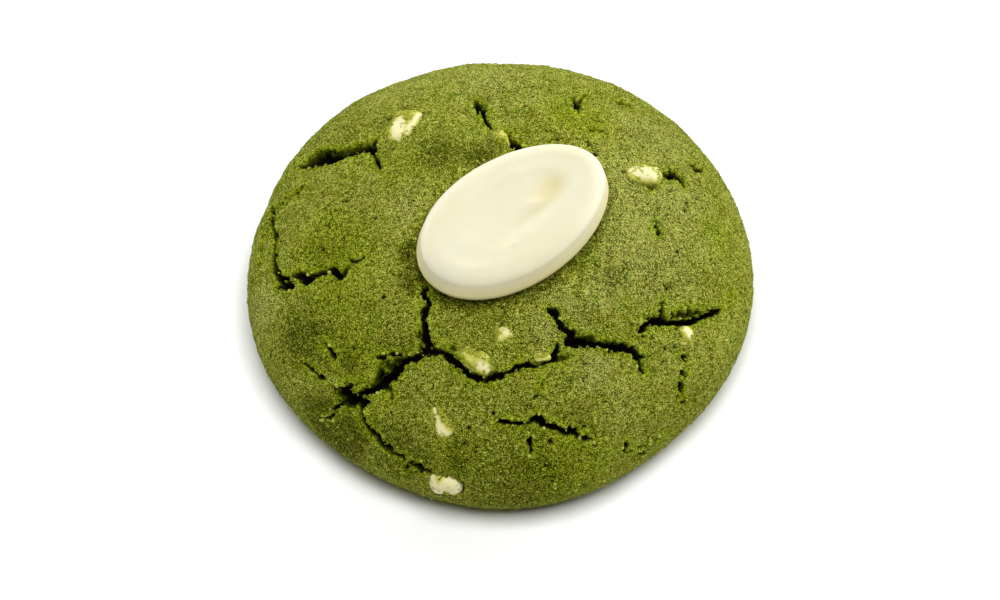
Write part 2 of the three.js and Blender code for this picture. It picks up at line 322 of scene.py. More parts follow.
# %% The dome's formula
COOKIE_RADIUS = 34.0
WIDEST_HEIGHT = 7.2
DOME_RISE = 17.3
DOME_FULLNESS = 2.25
UNDERCUT_SHARE = 0.22
UNDERCUT_ROUNDNESS = 0.9
OUTLINE_WAVES = ((2, 0.003, 0.0035), (3, -0.0015, 0.0055), (4, 0.003, 0.001), (5, 0.003, -0.005))
SECTION_STEPS = 1500
SLOPE_STEP = 0.004


def rim_radius(angle):
    """The cookie's radius in a direction: the plain radius and a few waves round it."""
    waves = sum(c * np.cos(n * angle) + s * np.sin(n * angle) for n, c, s in OUTLINE_WAVES)
    return COOKIE_RADIUS * (1 + waves)


def dough_section():
    """The section as shares of the radius and heights, with the share of its length at each
    step. Upper half: out = sin(turn)^(2/fullness), height = cos(turn). Lower half: out draws
    in by the undercut as 1 - cos(turn)^roundness, height = 1 - sin(turn)."""
    turn = np.linspace(0, np.pi / 2, SECTION_STEPS)
    cosine = np.clip(np.cos(turn), 0, 1)
    upper_out = np.sin(turn) ** (2 / DOME_FULLNESS)
    upper_height = WIDEST_HEIGHT + DOME_RISE * cosine
    lower_out = 1 - UNDERCUT_SHARE * (1 - cosine**UNDERCUT_ROUNDNESS)
    lower_height = WIDEST_HEIGHT * (1 - np.sin(turn))
    out = np.concatenate([upper_out, lower_out[1:]])
    height = np.concatenate([upper_height, lower_height[1:]])
    steps = np.hypot(np.diff(out) * COOKIE_RADIUS, np.diff(height))
    length = np.concatenate([[0], np.cumsum(steps)])
    return out, height, length / length[-1]


SECTION_OUT, SECTION_HEIGHT, SECTION_SHARE = dough_section()


def crust_place(places):
    """Points of the plain dome and their outward directions, for places on a unit disc: the
    distance from its middle is the share of the section, the direction is the direction."""
    share = np.hypot(places[:, 0], places[:, 1])
    angle = np.arctan2(places[:, 1], places[:, 0])
    rim = rim_radius(angle)

    def section(values):
        """The values a little before each share, at it and a little after it."""
        return [np.interp(np.clip(share + step, 0, 1), SECTION_SHARE, values)
                for step in (-SLOPE_STEP, 0, SLOPE_STEP)]

    before, out, after = section(SECTION_OUT)
    low, height, high = section(SECTION_HEIGHT)
    run, climb = rim * (after - before), high - low
    long = np.hypot(run, climb)
    cosine, sine = np.cos(angle), np.sin(angle)
    points = np.stack([rim * out * cosine, rim * out * sine, height], axis=-1)
    normals = np.stack([-climb * cosine, -climb * sine, run], axis=-1) / long[:, None]
    return points, normals


def on_dome(plan):
    """The points of the plain dome over places in plan."""
    plan = np.asarray(plan, float)
    share = np.hypot(plan[:, 0], plan[:, 1]) / rim_radius(np.arctan2(plan[:, 1], plan[:, 0]))
    height = WIDEST_HEIGHT + DOME_RISE * np.sqrt(1 - np.clip(share, 0, 1) ** DOME_FULLNESS)
    return np.column_stack([plan, height])


def dome_direction(point):
    """The outward direction at one point of the dome: the slope of share^fullness + rise^2."""
    x, y, z = point
    radius, rim = math.hypot(x, y), rim_radius(math.atan2(y, x))
    outward = DOME_FULLNESS * (radius / rim) ** (DOME_FULLNESS - 1) / rim
    upward = 2 * (z - WIDEST_HEIGHT) / DOME_RISE**2
    return Vector((x / radius * outward, y / radius * outward, upward)).normalized()


print("top of the dome, mm:", round(float(SECTION_HEIGHT[0]), 2))

# %% [markdown]
# ## Where the crust split
#
# As the dough rose its skin tore. Each tear is a run of places over the plan, with the width of
# the tear at each place. Wide tears have a slumped shelf on their far side, which is a second
# run, wide and shallow. Pits are the holes that gas left.

# %% Cracks, shelves and pits
CRACKS = {
    "back_left": [(-27.2, 13.0, .66), (-26.5, 12.9, 1.05), (-25.5, 12.5, 1.72), (-24.5, 12.3, 1.74),
        (-23.6, 12.1, 1.65), (-22.7, 12.0, 1.53), (-21.8, 12.2, 1.40), (-20.6, 12.4, 1.23),
        (-19.2, 12.5, 1.19), (-18.0, 12.6, 1.40), (-17.2, 12.8, 1.14), (-17.0, 11.5, .61),
        (-16.7, 10.3, .67), (-16.3, 9.3, .60), (-15.8, 7.9, .27)],
    "back_left_upper": [(-26.2, 13.5, .8), (-24.9, 13.6, 1.6), (-23.6, 13.3, 1.6), (-22.4, 12.8, 1.3),
        (-21.0, 12.8, .9), (-19.4, 12.9, .9), (-17.6, 13.1, .8)],
    "back_left_blob": [(-24.2, 14.2, 1.41), (-23.6, 14.2, 1.38)],
    "back_left_tip": [(-17.0, 12.8, .58), (-17.1, 14.3, .23)],
    "left_rim": [(-31.5, 10.1, .5), (-31.2, 6.6, 1.2), (-30.6, 1.8, .9), (-30.6, -0.8, .9),
        (-30.4, -3.2, .9), (-29.8, -4.7, .9), (-29.4, -5.6, 1.1), (-28.9, -6.5, 1.2),
        (-28.2, -6.9, 1.21), (-27.8, -7.3, .60)],
    "left_teeth": [(-29.0, -6.5, .81), (-30.0, -6.3, .41)],
    "left_tooth": [(-28.3, -6.7, 1.08), (-28.4, -5.8, .73)],
    "left_hole": [(-27.2, -5.9, 1.03), (-26.8, -5.8, 1.10), (-26.3, -6.5, 1.59),
        (-25.4, -7.0, 1.25), (-24.8, -6.9, .87), (-24.2, -6.8, .62), (-23.3, -6.9, .77),
        (-22.9, -6.8, .64), (-22.5, -6.6, .72), (-21.8, -7.2, .66), (-20.9, -8.0, .77),
        (-20.6, -7.6, .61), (-20.4, -7.0, .55), (-20.0, -6.8, .24)],
    "left_hole_low": [(-26.3, -6.7, 1.04), (-26.0, -7.4, .89)],
    "left_spur": [(-20.2, -5.5, .24), (-19.7, -6.0, .35), (-19.1, -6.1, .45), (-18.5, -5.9, .40),
        (-17.8, -5.5, .20)],
    "trunk": [(-10.0, -11.3, .66), (-9.9, -12.5, .65), (-9.0, -13.5, .59), (-9.6, -13.9, .90),
        (-10.1, -14.7, .80), (-10.0, -15.7, .52), (-9.7, -17.1, .92), (-9.6, -18.1, 1.18),
        (-9.4, -18.9, 1.46), (-9.7, -19.6, 1.27)],
    "trunk_left": [(-9.7, -19.6, 1.14), (-10.4, -20.0, .94), (-11.2, -20.3, .87),
        (-12.0, -20.6, .80), (-12.8, -20.9, .74), (-13.6, -21.5, 1.08), (-14.3, -22.1, 1.22),
        (-14.9, -22.5, 1.14), (-15.7, -23.0, 1.19), (-16.4, -23.1, 1.05), (-17.2, -23.3, .92),
        (-18.1, -23.4, .78)],
    "ledge_line": [(-16.4, -19.5, .24), (-16.0, -19.5, .39), (-15.4, -19.8, .33),
        (-14.9, -19.5, .40), (-14.1, -19.5, .39), (-12.9, -19.8, .20)],
    "hollow_spur": [(-20.0, -23.4, .80), (-20.9, -23.6, .46), (-21.8, -23.7, .46),
        (-22.4, -23.6, .20)],
    "hollow_line": [(-21.9, -24.2, .26), (-22.3, -24.1, .53), (-22.9, -24.0, .49),
        (-23.4, -23.8, .23)],
    "front_left": [(-18.6, -24.0, 1.06), (-18.2, -24.7, .99), (-18.1, -25.3, .52),
        (-18.1, -25.9, .47), (-17.4, -27.0, .58), (-16.7, -27.6, 1.00), (-16.0, -28.3, 1.02),
        (-15.3, -29.0, .89), (-14.7, -29.3, .77), (-13.7, -30.0, .68), (-12.9, -30.4, .53),
        (-12.1, -30.9, .46), (-11.4, -31.3, .91), (-10.6, -31.7, 1.21), (-9.9, -32.0, .37)],
    "front_left_side": [(-14.7, -29.3, .67), (-14.5, -29.7, .34)],
    "low_side": [(-11.9, -31.1, .40), (-12.7, -31.2, .28)],
    "front_arc": [(-9.2, -19.5, .66), (-7.9, -19.9, .52), (-7.0, -20.2, .72), (-6.1, -20.9, 1.04),
        (-5.4, -21.6, 1.16), (-4.7, -22.4, 1.10), (-3.8, -23.1, .90), (-2.8, -23.5, .71),
        (-1.6, -23.6, .78), (-0.6, -23.3, .65), (0.2, -23.0, .71), (1.0, -22.7, .52),
        (1.8, -22.3, .65), (2.7, -21.9, .91), (3.6, -21.7, .78), (4.1, -21.8, .46),
        (5.0, -21.8, .33), (5.9, -21.5, .32), (6.5, -20.9, .58), (7.1, -20.4, .97),
        (7.4, -19.7, .84), (7.6, -19.0, .33)],
    "disc_right": [(6.2, -14.2, .25), (6.7, -14.6, .62), (7.3, -14.8, .96), (7.5, -15.5, .67),
        (8.1, -16.4, .89), (8.8, -16.9, 1.09), (9.4, -17.6, 1.15), (9.5, -18.4, 1.29),
        (10.4, -18.3, 1.07), (11.3, -18.5, .94), (12.3, -18.5, .80), (13.3, -18.5, .80),
        (14.3, -18.6, .94), (15.3, -18.5, .99), (16.3, -18.2, 1.07), (16.9, -18.5, .81),
        (17.6, -18.3, .82), (18.2, -18.9, .85), (18.6, -19.4, .44), (18.6, -20.3, .44),
        (19.2, -20.8, .18)],
    "disc_right_spur": [(8.8, -17.0, .65), (9.0, -16.1, .39)],
    "disc_right_corner": [(9.5, -18.6, .65), (8.9, -19.0, .39)],
    "disc_right_end": [(18.3, -18.9, .54), (19.1, -19.0, .34)],
    "right_gash": [(18.3, -16.0, .3), (18.9, -15.1, .8), (19.6, -14.4, 1.0), (20.4, -13.9, 1.4),
        (21.4, -13.8, 1.5), (22.3, -13.8, 1.1), (23.0, -13.6, 1.1), (23.7, -13.4, .8),
        (24.7, -12.9, .8), (25.6, -12.5, .9), (26.7, -11.7, .9), (27.7, -11.0, 1.0),
        (28.4, -10.5, 1.0), (29.0, -10.0, .8), (29.7, -9.3, .3)],
    "right_gash_fork": [(21.4, -11.3, .23), (21.4, -12.0, .60), (21.6, -12.9, 1.05)],
    "right_line_top": [(23.9, -17.4, .27), (24.6, -17.4, .75), (24.8, -17.8, .33)],
    "right_line_mid": [(24.2, -18.9, .33), (24.3, -19.1, .66)],
    "right_line_dash": [(24.6, -19.5, .41), (24.9, -19.2, .33)],
    "right_line_low": [(23.9, -20.3, .41), (24.1, -20.5, .79), (24.2, -21.0, .72),
        (24.4, -21.5, .34), (24.5, -21.9, .78)],
    "front": [(-0.6, -28.4, .17), (0.1, -28.3, .55), (1.0, -28.5, .58), (1.9, -28.7, .52),
        (2.9, -28.7, .52), (3.6, -28.5, .40), (4.2, -28.1, .65), (5.2, -28.0, .90),
        (5.8, -28.5, .78), (6.6, -28.6, .65), (7.4, -28.8, .71), (8.4, -29.0, .92),
        (9.4, -28.9, .92), (10.0, -29.1, .58), (10.7, -29.3, .66), (11.4, -29.2, .54),
        (12.3, -29.1, .16)],
    "front_peak": [(4.7, -27.9, .65), (4.8, -27.5, .26)],
    "front_notch": [(6.7, -28.4, .40), (7.1, -28.1, .46)],
    "front_end": [(9.4, -28.9, .69), (10.0, -28.6, .41)],
    "front_nick": [(4.1, -30.0, .17), (3.7, -30.4, .65), (3.9, -30.9, .19), (4.0, -31.4, .30)],
    "front_right_nick": [(16.6, -28.4, .59), (16.7, -28.6, .65), (16.7, -29.0, .46)],
    "front_right_dot": [(18.6, -28.0, .44), (19.1, -27.7, .68)],
    "left_front": [(-23.4, -16.1, .42), (-22.8, -17.0, .43), (-22.3, -17.8, .58),
        (-21.9, -18.5, .26)],
    "left_low": [(-26.3, -17.3, .24), (-24.9, -18.8, .47), (-23.8, -20.0, .78)],
    "back": [(-3.4, 20.1, .48), (-3.0, 18.9, 1.18), (-2.5, 18.0, 1.25), (-2.3, 16.9, .65),
        (-1.9, 15.6, .51), (-0.9, 14.2, .41), (0.0, 13.9, .60), (0.7, 13.2, 1.17),
        (1.3, 12.2, 1.17), (2.1, 11.4, 1.02), (3.1, 10.5, .84)],
    "back_right": [(10.2, 20.9, .42), (10.6, 19.8, .94), (10.9, 18.4, .26)],
    "back_right_fork": [(10.7, 20.2, .47), (11.3, 21.7, .36), (12.0, 23.0, .28)],
    "back_rim": [(17.4, 22.8, 1.73), (17.9, 22.6, 1.39)],
    "back_dash": [(12.4, 15.0, .33), (12.8, 14.8, .63), (13.7, 14.8, .49)],
    "right_back": [(26.1, 12.6, .90), (26.5, 12.4, 1.54), (27.0, 12.4, 1.05), (27.8, 12.8, .64)],
    "right_chip": [(21.5, 8.3, .68), (22.1, 8.7, .93), (22.8, 8.8, .82), (23.5, 9.5, 1.21),
        (24.0, 9.2, 1.14), (24.5, 8.7, .69), (25.1, 8.0, .27)],
    "right_crescent": [(19.7, 6.3, .37), (20.3, 6.3, .77), (21.1, 6.9, .31)],
    "right_nick": [(20.9, 0.5, .20), (20.9, -0.7, .61), (21.0, -1.2, .61), (21.0, -1.9, .14)],
    "gap_streak": [(5.4, -23.7, .24), (5.7, -24.2, .24)],
}
SHELVES = {
    "back_left": [(-26.3, 13.7, 1.18), (-25.2, 14.1, 2.47), (-23.9, 13.9, 2.29),
        (-22.5, 13.2, 1.88), (-20.9, 13.1, 1.60), (-19.4, 13.1, 1.33), (-18.0, 13.1, 1.09),
        (-17.0, 13.3, .87)],
    "trunk_ledge": [(-12.7, -20.2, .54), (-13.6, -20.6, 1.21), (-14.8, -20.8, 1.61),
        (-15.8, -21.4, 1.64), (-16.4, -22.3, 1.52), (-17.1, -22.9, .96)],
    "trunk_side": [(-10.6, -16.6, .53), (-10.4, -17.7, .66), (-10.3, -18.8, .66)],
    "lower_notch": [(-14.8, -23.3, .81), (-14.1, -24.1, .90), (-14.4, -24.7, .48)],
    "right_gash": [(20.3, -13.4, .55), (21.7, -13.1, 1.07), (23.1, -12.5, 1.21),
        (24.7, -12.1, 1.34), (26.2, -11.4, 1.06), (27.6, -10.5, .79), (28.6, -9.7, .47)],
    "disc_right": [(10.0, -17.5, .68), (11.4, -17.9, .88), (12.5, -18.0, .74), (14.0, -18.0, .67),
        (15.3, -18.0, .54)],
    "arc_notch": [(-7.1, -18.9, .33), (-6.3, -19.6, .78)],
    "arc_end": [(7.2, -20.7, .66), (8.0, -20.8, .79), (8.8, -20.6, .65), (9.3, -20.3, .32)],
    "arc_low": [(-0.4, -23.0, .65), (0.4, -22.9, .78), (1.2, -22.5, .52)],
    "hollow_top": [(-18.4, -21.9, .54), (-19.3, -22.2, .79), (-20.2, -21.9, .94),
        (-20.5, -22.5, .89)],
    "hollow_floor": [(-19.4, -24.0, .92), (-18.5, -25.0, .76)],
    "right_fold": [(30.4, -7.6, .27), (31.6, -6.5, .47)],
    "left_rim_upper": [(-26.7, 8.6, .4), (-28.3, 8.2, .6), (-29.7, 7.7, .7), (-30.9, 6.9, .6)],
    "left_rim_outer": [(-32.0, 5.0, .5), (-32.5, 2.9, .8), (-32.6, 0.5, .7), (-32.7, -1.8, .4)],
    "back_left_fold": [(-26.5, 15.6, .4), (-27.8, 14.9, .7), (-29.0, 13.3, .7), (-29.9, 11.4, .4)],
    "right_low_fold": [(17.4, -28.6, .4), (20.6, -26.4, .6), (23.4, -24.0, .4)],
}
HOLLOW = [(-21.2, -22.3, 1.7), (-20.1, -23.3, 3.0), (-18.6, -23.8, 2.4)]
PITS = [(-0.9, -27.5, .44), (4.8, -25.5, .44), (-1.8, -27.0, .29), (3.9, -26.6, .32),
        (-4.1, -28.9, .44), (-2.2, -28.4, .29), (-1.4, -25.3, .29), (11.1, -28.1, .44),
        (10.4, -27.9, .29), (6.6, -30.2, .47), (12.5, -29.6, .44), (-4.7, -30.3, .34),
        (5.9, -32.3, .29), (16.5, 7.7, .44), (17.2, 6.5, .44), (17.7, 6.3, .32), (25.0, 4.6, .44),
        (26.6, 6.0, .56), (27.2, 6.1, .37), (28.8, 7.7, .44), (24.6, 3.1, .44), (11.6, 12.0, .44),
        (11.8, 11.4, .32), (12.7, 10.1, .56), (7.6, 12.1, .53), (9.7, 17.0, .29), (22.9, 6.1, .29),
        (12.4, -3.1, .34), (21.8, -9.0, .38), (22.1, -9.3, .38), (23.4, -3.8, .44),
        (-21.4, -10.8, .38), (-15.3, -12.0, .44), (-23.6, -3.3, .44), (-20.4, 3.4, .44),
        (-19.9, 4.0, .35), (-22.9, 0.2, .38), (-23.1, -1.0, .29), (-24.4, -0.3, .35),
        (-20.8, 7.6, .29), (-21.3, 9.2, .29), (-16.5, -0.2, .32), (-22.6, -13.7, .44),
        (-19.2, -17.9, .38), (23.0, -16.7, .41), (21.6, -17.2, .41), (19.0, -16.3, .47),
        (6.8, -33.2, .35), (9.1, -32.9, .35), (-15.0, 17.3, .47), (-14.4, 11.7, .38),
        (-11.3, 17.9, .44), (-11.6, 16.1, .35), (-15.4, 11.0, .29), (-16.9, 14.3, .38),
        (5.6, -33.0, .29), (4.4, -25.6, .29), (-12.2, -6.5, .26), (13.0, -21.8, .26)]
print(len(CRACKS), "cracks,", len(SHELVES), "shelves,", len(PITS), "pits")

# %% [markdown]
# A run becomes straight stretches that lie on the dome. The surface needs to know, everywhere,
# how far it is to the nearest edge of a tear. That distance is less than nothing inside the
# tear, and it decides where the walls and the lips are and how they are coloured.

# %% Distance to the nearest edge
EDGE_REACH = 7.0
PIT_LENGTH = 0.1


def stretches(runs):
    """Each run as straight stretches on the dome: two ends and the width at each."""
    found = []
    for run in runs:
        places = on_dome([(x, y) for x, y, _ in run])
        widths = [width for _, _, width in run]
        found += zip(places[:-1], places[1:], widths[:-1], widths[1:])
    return found


def nearest_edge(points, parts):
    """The distance to the nearest edge, up to the reach, and the width there. On one stretch the
    closest place is the point's shadow, kept between the ends, and the edge is half the width
    from it."""
    edge = np.full(len(points), EDGE_REACH)
    width = np.zeros(len(points))
    for start, end, wide_start, wide_end in parts:
        line = end - start
        middle = (start + end) / 2
        reach = EDGE_REACH + np.linalg.norm(line) / 2
        near = np.flatnonzero((np.abs(points - middle) < reach).all(axis=1))
        offset = points[near] - start
        share = np.clip(offset @ line / (line @ line), 0, 1)
        gap = np.linalg.norm(offset - share[:, None] * line, axis=1)
        wide = wide_start + share * (wide_end - wide_start)
        closer = gap - wide / 2 < edge[near]
        edge[near[closer]] = (gap - wide / 2)[closer]
        width[near[closer]] = wide[closer]
    return edge, width


CRACK_PARTS = stretches(CRACKS.values())
SHELF_PARTS = stretches(SHELVES.values())
PIT_PARTS = stretches([(x, y, width), (x + PIT_LENGTH, y, width)] for x, y, width in PITS)
HOLLOW_PARTS = stretches([HOLLOW])
print(len(CRACK_PARTS), "stretches of crack")

# %% [markdown]
# ## Where the chunks lie
#
# The crust makes room for the chocolate. Each chunk is a lump that lies along the crust under a
# thin film of dough. The film is torn in a few bare runs, written as the cracks are, and there
# the dough sinks below the lump, so that the white shows with a ragged green edge. Each chunk
# has its place in plan, its length and width, its turn in degrees and how proud it stands.

# %% The chunks' places
CHUNKS = [
    dict(name="back_left", at=(-13.0, 16.0), size=(6.4, 4.2), turn=62, proud=0.4, bare=[
        [(-13.3, 16.8, 1.0), (-13.6, 15.2, 2.2), (-13.8, 13.9, 1.8), (-13.7, 12.8, .8)],
        [(-12.5, 14.2, .9), (-11.8, 15.5, .9), (-11.0, 17.0, 1.0), (-10.6, 17.6, .6)],
        [(-13.6, 18.9, .6), (-12.8, 18.9, 1.1), (-12.2, 18.4, .5)]]),
    dict(name="back_right", at=(19.5, 8.0), size=(5.0, 3.0), turn=6, proud=0.45, bare=[
        [(17.2, 7.7, .7), (18.3, 7.7, 1.9), (19.6, 7.7, 2.2), (20.5, 7.4, 1.3)],
        [(20.7, 8.6, .7), (21.3, 9.0, .7)], [(20.4, 9.2, .3), (20.9, 9.5, .3)]]),
    dict(name="front_split", at=(-3.0, -21.3), size=(4.8, 2.8), turn=-32, proud=0.4, bare=[
        [(-4.5, -20.5, .4), (-3.6, -21.3, .7)],
        [(-3.1, -21.6, .8), (-2.3, -22.0, 1.5), (-1.5, -22.5, .9)]]),
    dict(name="under_disc", at=(0.5, -18.0), size=(2.4, 2.0), turn=20, proud=0.25, bare=[
        [(0.4, -17.6, .9), (0.9, -18.0, 1.1)], [(0.1, -18.6, .5), (0.5, -18.3, .6)]]),
    dict(name="front_slope", at=(-7.6, -28.0), size=(4.4, 2.6), turn=108, proud=0.3, bare=[
        [(-8.4, -26.3, .3), (-8.2, -27.3, .5), (-7.8, -28.1, 1.0), (-7.4, -28.9, 1.6),
         (-6.4, -29.3, .7)]]),
    dict(name="front_foot", at=(-7.2, -33.2), size=(4.4, 3.2), turn=-6, proud=0.45, bare=[
        [(-9.1, -32.4, 1.4), (-8.3, -32.9, 2.0), (-7.6, -33.3, 1.7)],
        [(-7.0, -33.2, 2.4), (-6.4, -33.3, 2.9), (-5.6, -33.5, 2.4)]]),
    dict(name="right_gash", at=(24.8, -14.8), size=(3.0, 2.6), turn=60, proud=-0.05, bare=[
        [(23.8, -14.1, .5), (24.8, -14.0, 1.2), (25.6, -14.1, .6)],
        [(24.9, -14.3, 1.1), (25.1, -14.9, .8)],
        [(24.1, -16.0, .4), (24.5, -15.9, .4)]]),
    dict(name="back_split", at=(0.0, 12.3), size=(2.8, 2.1), turn=120, proud=0.2, bare=[
        [(-0.3, 12.8, .3), (-0.1, 12.4, .4)]]),
    dict(name="front_sliver", at=(5.5, -20.8), size=(2.2, 1.2), turn=12, proud=0.3, bare=[
        [(4.7, -21.4, .2), (5.5, -21.1, .4), (6.3, -20.8, .2)]]),
]
CHUNK_THICKNESS_SHARE = 0.9
CHUNK_BOXINESS = 0.65
CHUNK_REACH_SHARE = 3
CHUNK_REACH_MORE = 1


def chunk_frame(chunk):
    """Half sizes, middle and three axes of a chunk: it lies along the crust, turned about the
    outward direction, and stands out of the crust by its proud height."""
    length, width = chunk["size"]
    half = np.array([length, width, width * CHUNK_THICKNESS_SHARE]) / 2
    crust = on_dome([chunk["at"]])[0]
    outward = dome_direction(crust)
    lean = Vector((0, 0, 1)).rotation_difference(outward).to_matrix()
    turn = math.radians(chunk["turn"])
    along = lean @ Vector((math.cos(turn), math.sin(turn), 0))
    axes = np.array([along, outward.cross(along), outward])
    return half, crust + (chunk["proud"] - half[2]) * np.array(outward), axes


def chunk_above(points):
    """How far the nearest chunk's surface stands above each point, and how far inside the
    chunk's plan it lies: 1 over the middle, 0 at the edge. The surface is a ball pressed to a box:
    the sum of the three shares, each to the power 2 / boxiness, is 1."""
    above, inside = np.full(len(points), -FAR), np.zeros(len(points))
    for chunk in CHUNKS:
        half, middle, axes = chunk_frame(chunk)
        local = (points - middle) @ axes.T
        left = 1 - (np.abs(local[:, :2] / half[:2]) ** (2 / CHUNK_BOXINESS)).sum(axis=1)
        reach = CHUNK_REACH_SHARE * half[2] + CHUNK_REACH_MORE
        over = (left > 0) & (np.abs(local[:, 2]) < reach)
        top = half[2] * np.clip(left, 0, 1) ** (CHUNK_BOXINESS / 2)
        above = np.where(over, np.maximum(above, top - local[:, 2]), above)
        inside = np.where(over, np.maximum(inside, left), inside)
    return above, inside


BARE_PARTS = stretches(run for chunk in CHUNKS for run in chunk["bare"])
print(len(CHUNKS), "chunks with", sum(len(chunk["bare"]) for chunk in CHUNKS), "bare runs")

# %% [markdown]
# ## The disc's oval
#
# Moulded ovals are nearly ellipses. This one narrows a little towards its right end, and it is
# turned so that its length runs to the back right. The dough must know how far it is from the
# oval, because it stays below the disc inside it and swells up again outside it.

# %% The disc's outline
DISC_LENGTH = 28.9
DISC_WIDTH = 18.4
DISC_TAPER = 0.06
DISC_THICKNESS = 4.8
DISC_BOTTOM = 23.9
DISC_CENTRE = np.array([1.85, -2.65])
DISC_TURN = math.radians(39.4)


def disc_plan(x, y):
    """Places in the disc's own plan: its length lies along the first axis."""
    dx, dy = x - DISC_CENTRE[0], y - DISC_CENTRE[1]
    cosine, sine = math.cos(DISC_TURN), math.sin(DISC_TURN)
    return dx * cosine + dy * sine, dy * cosine - dx * sine


def disc_distance(points):
    """How far a point lies outside the oval in plan. The oval is an ellipse that narrows
    towards its right end; the distance is its share beyond 1, times the radius there."""
    along, across = disc_plan(points[:, 0], points[:, 1])
    narrow = 1 - DISC_TAPER * np.clip(along / (DISC_LENGTH / 2), -1, 1)
    share = np.hypot(along / (DISC_LENGTH / 2), across / (DISC_WIDTH / 2 * narrow))
    return (share - 1) * np.hypot(along, across) / np.maximum(share, TINY)


# %% [markdown]
# ## The dough's grid
#
# One closed surface covers the dome, the edge and the base. A square grid is laid over the dome,
# because it has no crowded pole in the middle of the top, where the eye goes first. Then the
# grid is drawn together along the cracks, round the disc and round the chunks, so that the fine
# edges there get small cells and the plain crust gets larger ones.

# %% A grid drawn towards its detail
GRID_CELLS = 306
CROWD_ROUNDS = 4
CROWD_STEPS = 30
CROWD_PULL = 3.4
CROWD_REACH = 0.9
CROWD_PIT_REACH = 0.6
CROWD_SHELF_SHARE = 0.6
CROWD_DISC_SHARE = 0.8


def square_to_round(first, second):
    """Carries a square grid onto a unit disc. A place's distance is its larger coordinate, and
    its direction is spread evenly along that side of its square."""
    wide = np.abs(first) >= np.abs(second)
    safe_first = np.where(first == 0, 1, first)
    safe_second = np.where(second == 0, 1, second)
    far = np.where(wide, first, second)
    quarter = np.pi / 4
    turn = np.where(wide, quarter * second / safe_first, np.pi / 2 - quarter * first / safe_second)
    return np.stack([far * np.cos(turn), far * np.sin(turn)], axis=-1)


def detail_pull(places):
    """How strongly each place draws the grid: a bell over its distance from each kind of edge,
    times the weight of that kind. The strongest counts."""
    points, _ = crust_place(places.reshape(-1, 2))
    kinds = [(nearest_edge(points, CRACK_PARTS + HOLLOW_PARTS)[0], CROWD_REACH, 1),
             (nearest_edge(points, SHELF_PARTS)[0], CROWD_REACH, CROWD_SHELF_SHARE),
             (nearest_edge(points, PIT_PARTS)[0], CROWD_PIT_REACH, 1),
             (nearest_edge(points, BARE_PARTS)[0], CROWD_REACH, 1),
             (disc_distance(points), CROWD_REACH, CROWD_DISC_SHARE)]
    pull = np.max([weight * bell(distance, reach) for distance, reach, weight in kinds], axis=0)
    return (1 + CROWD_PULL * pull).reshape(places.shape[:2])


def drawn_grid():
    """Moves each inner place of the grid to the mean of its four neighbours, again and again.
    Links with a strong pull weigh more, so the cells there shrink."""
    line = np.linspace(-1, 1, GRID_CELLS + 1)
    places = square_to_round(*np.meshgrid(line, line))
    for _ in range(CROWD_ROUNDS):
        pull = detail_pull(places)
        down = (pull[:-1] + pull[1:])[:, 1:-1, None]
        across = (pull[:, :-1] + pull[:, 1:])[1:-1, :, None]
        weight = down[:-1] + down[1:] + across[:, :-1] + across[:, 1:]
        for _ in range(CROWD_STEPS):
            rows = down[:-1] * places[:-2, 1:-1] + down[1:] * places[2:, 1:-1]
            columns = across[:, :-1] * places[1:-1, :-2] + across[:, 1:] * places[1:-1, 2:]
            places[1:-1, 1:-1] = (rows + columns) / weight
    return places.reshape(-1, 2)


grid_places = drawn_grid()
print("grid places:", len(grid_places))

# %% [markdown]
# ## Fields of colour
#
# Baked dough is not one green. Some fields are moist and deep green. Some are dusty, and these
# are also painted paler where the lamp falls on the right flank and on bulging plates: painted
# light. The shade fields are painted shade, darker where shadow falls in dips and on the low
# front. These are wide soft blotches at named places on the dome, measured in space, so that
# none smears down the steep side. A narrow band close round the disc is painted shade too, the
# disc's shadow. The mesh stores each layer, and the material reads it.

# %% Blotches
BLOTCHES = {
    # Paler fields: a dusty bloom, and painted light where the lamp falls on the right and on bulges.
    "dust_and_light": [(19.5, 4.0, 9.5, 1.2), (15.0, 1.0, 6.0, 1.2), (19.5, -5.0, 7.5, 1.2),
             (25.5, -2.0, 6.0, 0.6), (21.0, 16.0, 6.0, 1.0), (-12.0, 1.5, 4.0, 0.8),
             (7.5, -15.5, 5.0, 1.0), (0.0, 24.0, 8.0, 0.7), (-18.0, 4.0, 5.0, 0.5),
             (13.0, -11.5, 4.0, 0.9), (25.0, -16.5, 5.0, 0.5), (16.0, -24.0, 6.0, 0.5),
             (12.5, -21.8, 3.5, 0.9), (-32.0, -8.0, 5.0, 1.0), (-13.0, 26.0, 7.0, 0.6)],
    "deep": [(-22.4, -3.5, 6.5, 1.0), (-21.5, -11.0, 6.0, 0.9), (-19.5, -17.5, 6.0, 1.0),
             (-18.0, -24.0, 5.0, 0.8), (-6.0, -31.5, 5.0, 0.8), (10.0, 17.0, 4.5, 1.0),
             (8.0, -32.0, 8.0, 1.0), (-13.0, 8.0, 4.5, 0.6), (29.5, 1.0, 4.5, 0.7)],
    # Painted shade: darker where shadow falls in dips, on the low front and beside the disc.
    "shade": [(-8.0, 9.5, 4.0, 0.8), (-23.0, -4.5, 5.5, 0.5), (15.0, -9.5, 3.0, 0.6),
              (-2.5, 8.8, 3.0, 1.0), (-13.0, -30.2, 5.5, 0.85), (-5.0, -31.5, 4.5, 0.72),
              (-19.8, -19.3, 3.0, 0.75), (-13.0, -19.0, 3.5, 0.6), (2.6, -33.5, 11.0, 0.66),
              (-26.0, -14.5, 6.0, 0.8), (-11.7, -25.5, 4.0, 0.4), (-11.2, -6.2, 2.0, 1.4),
              (-10.8, -9.6, 2.4, 1.4), (-21.2, -25.6, 5.0, 1.3), (-23.5, -23.6, 4.0, 1.0),
              (-1.0, -15.0, 4.0, 0.5)],
}
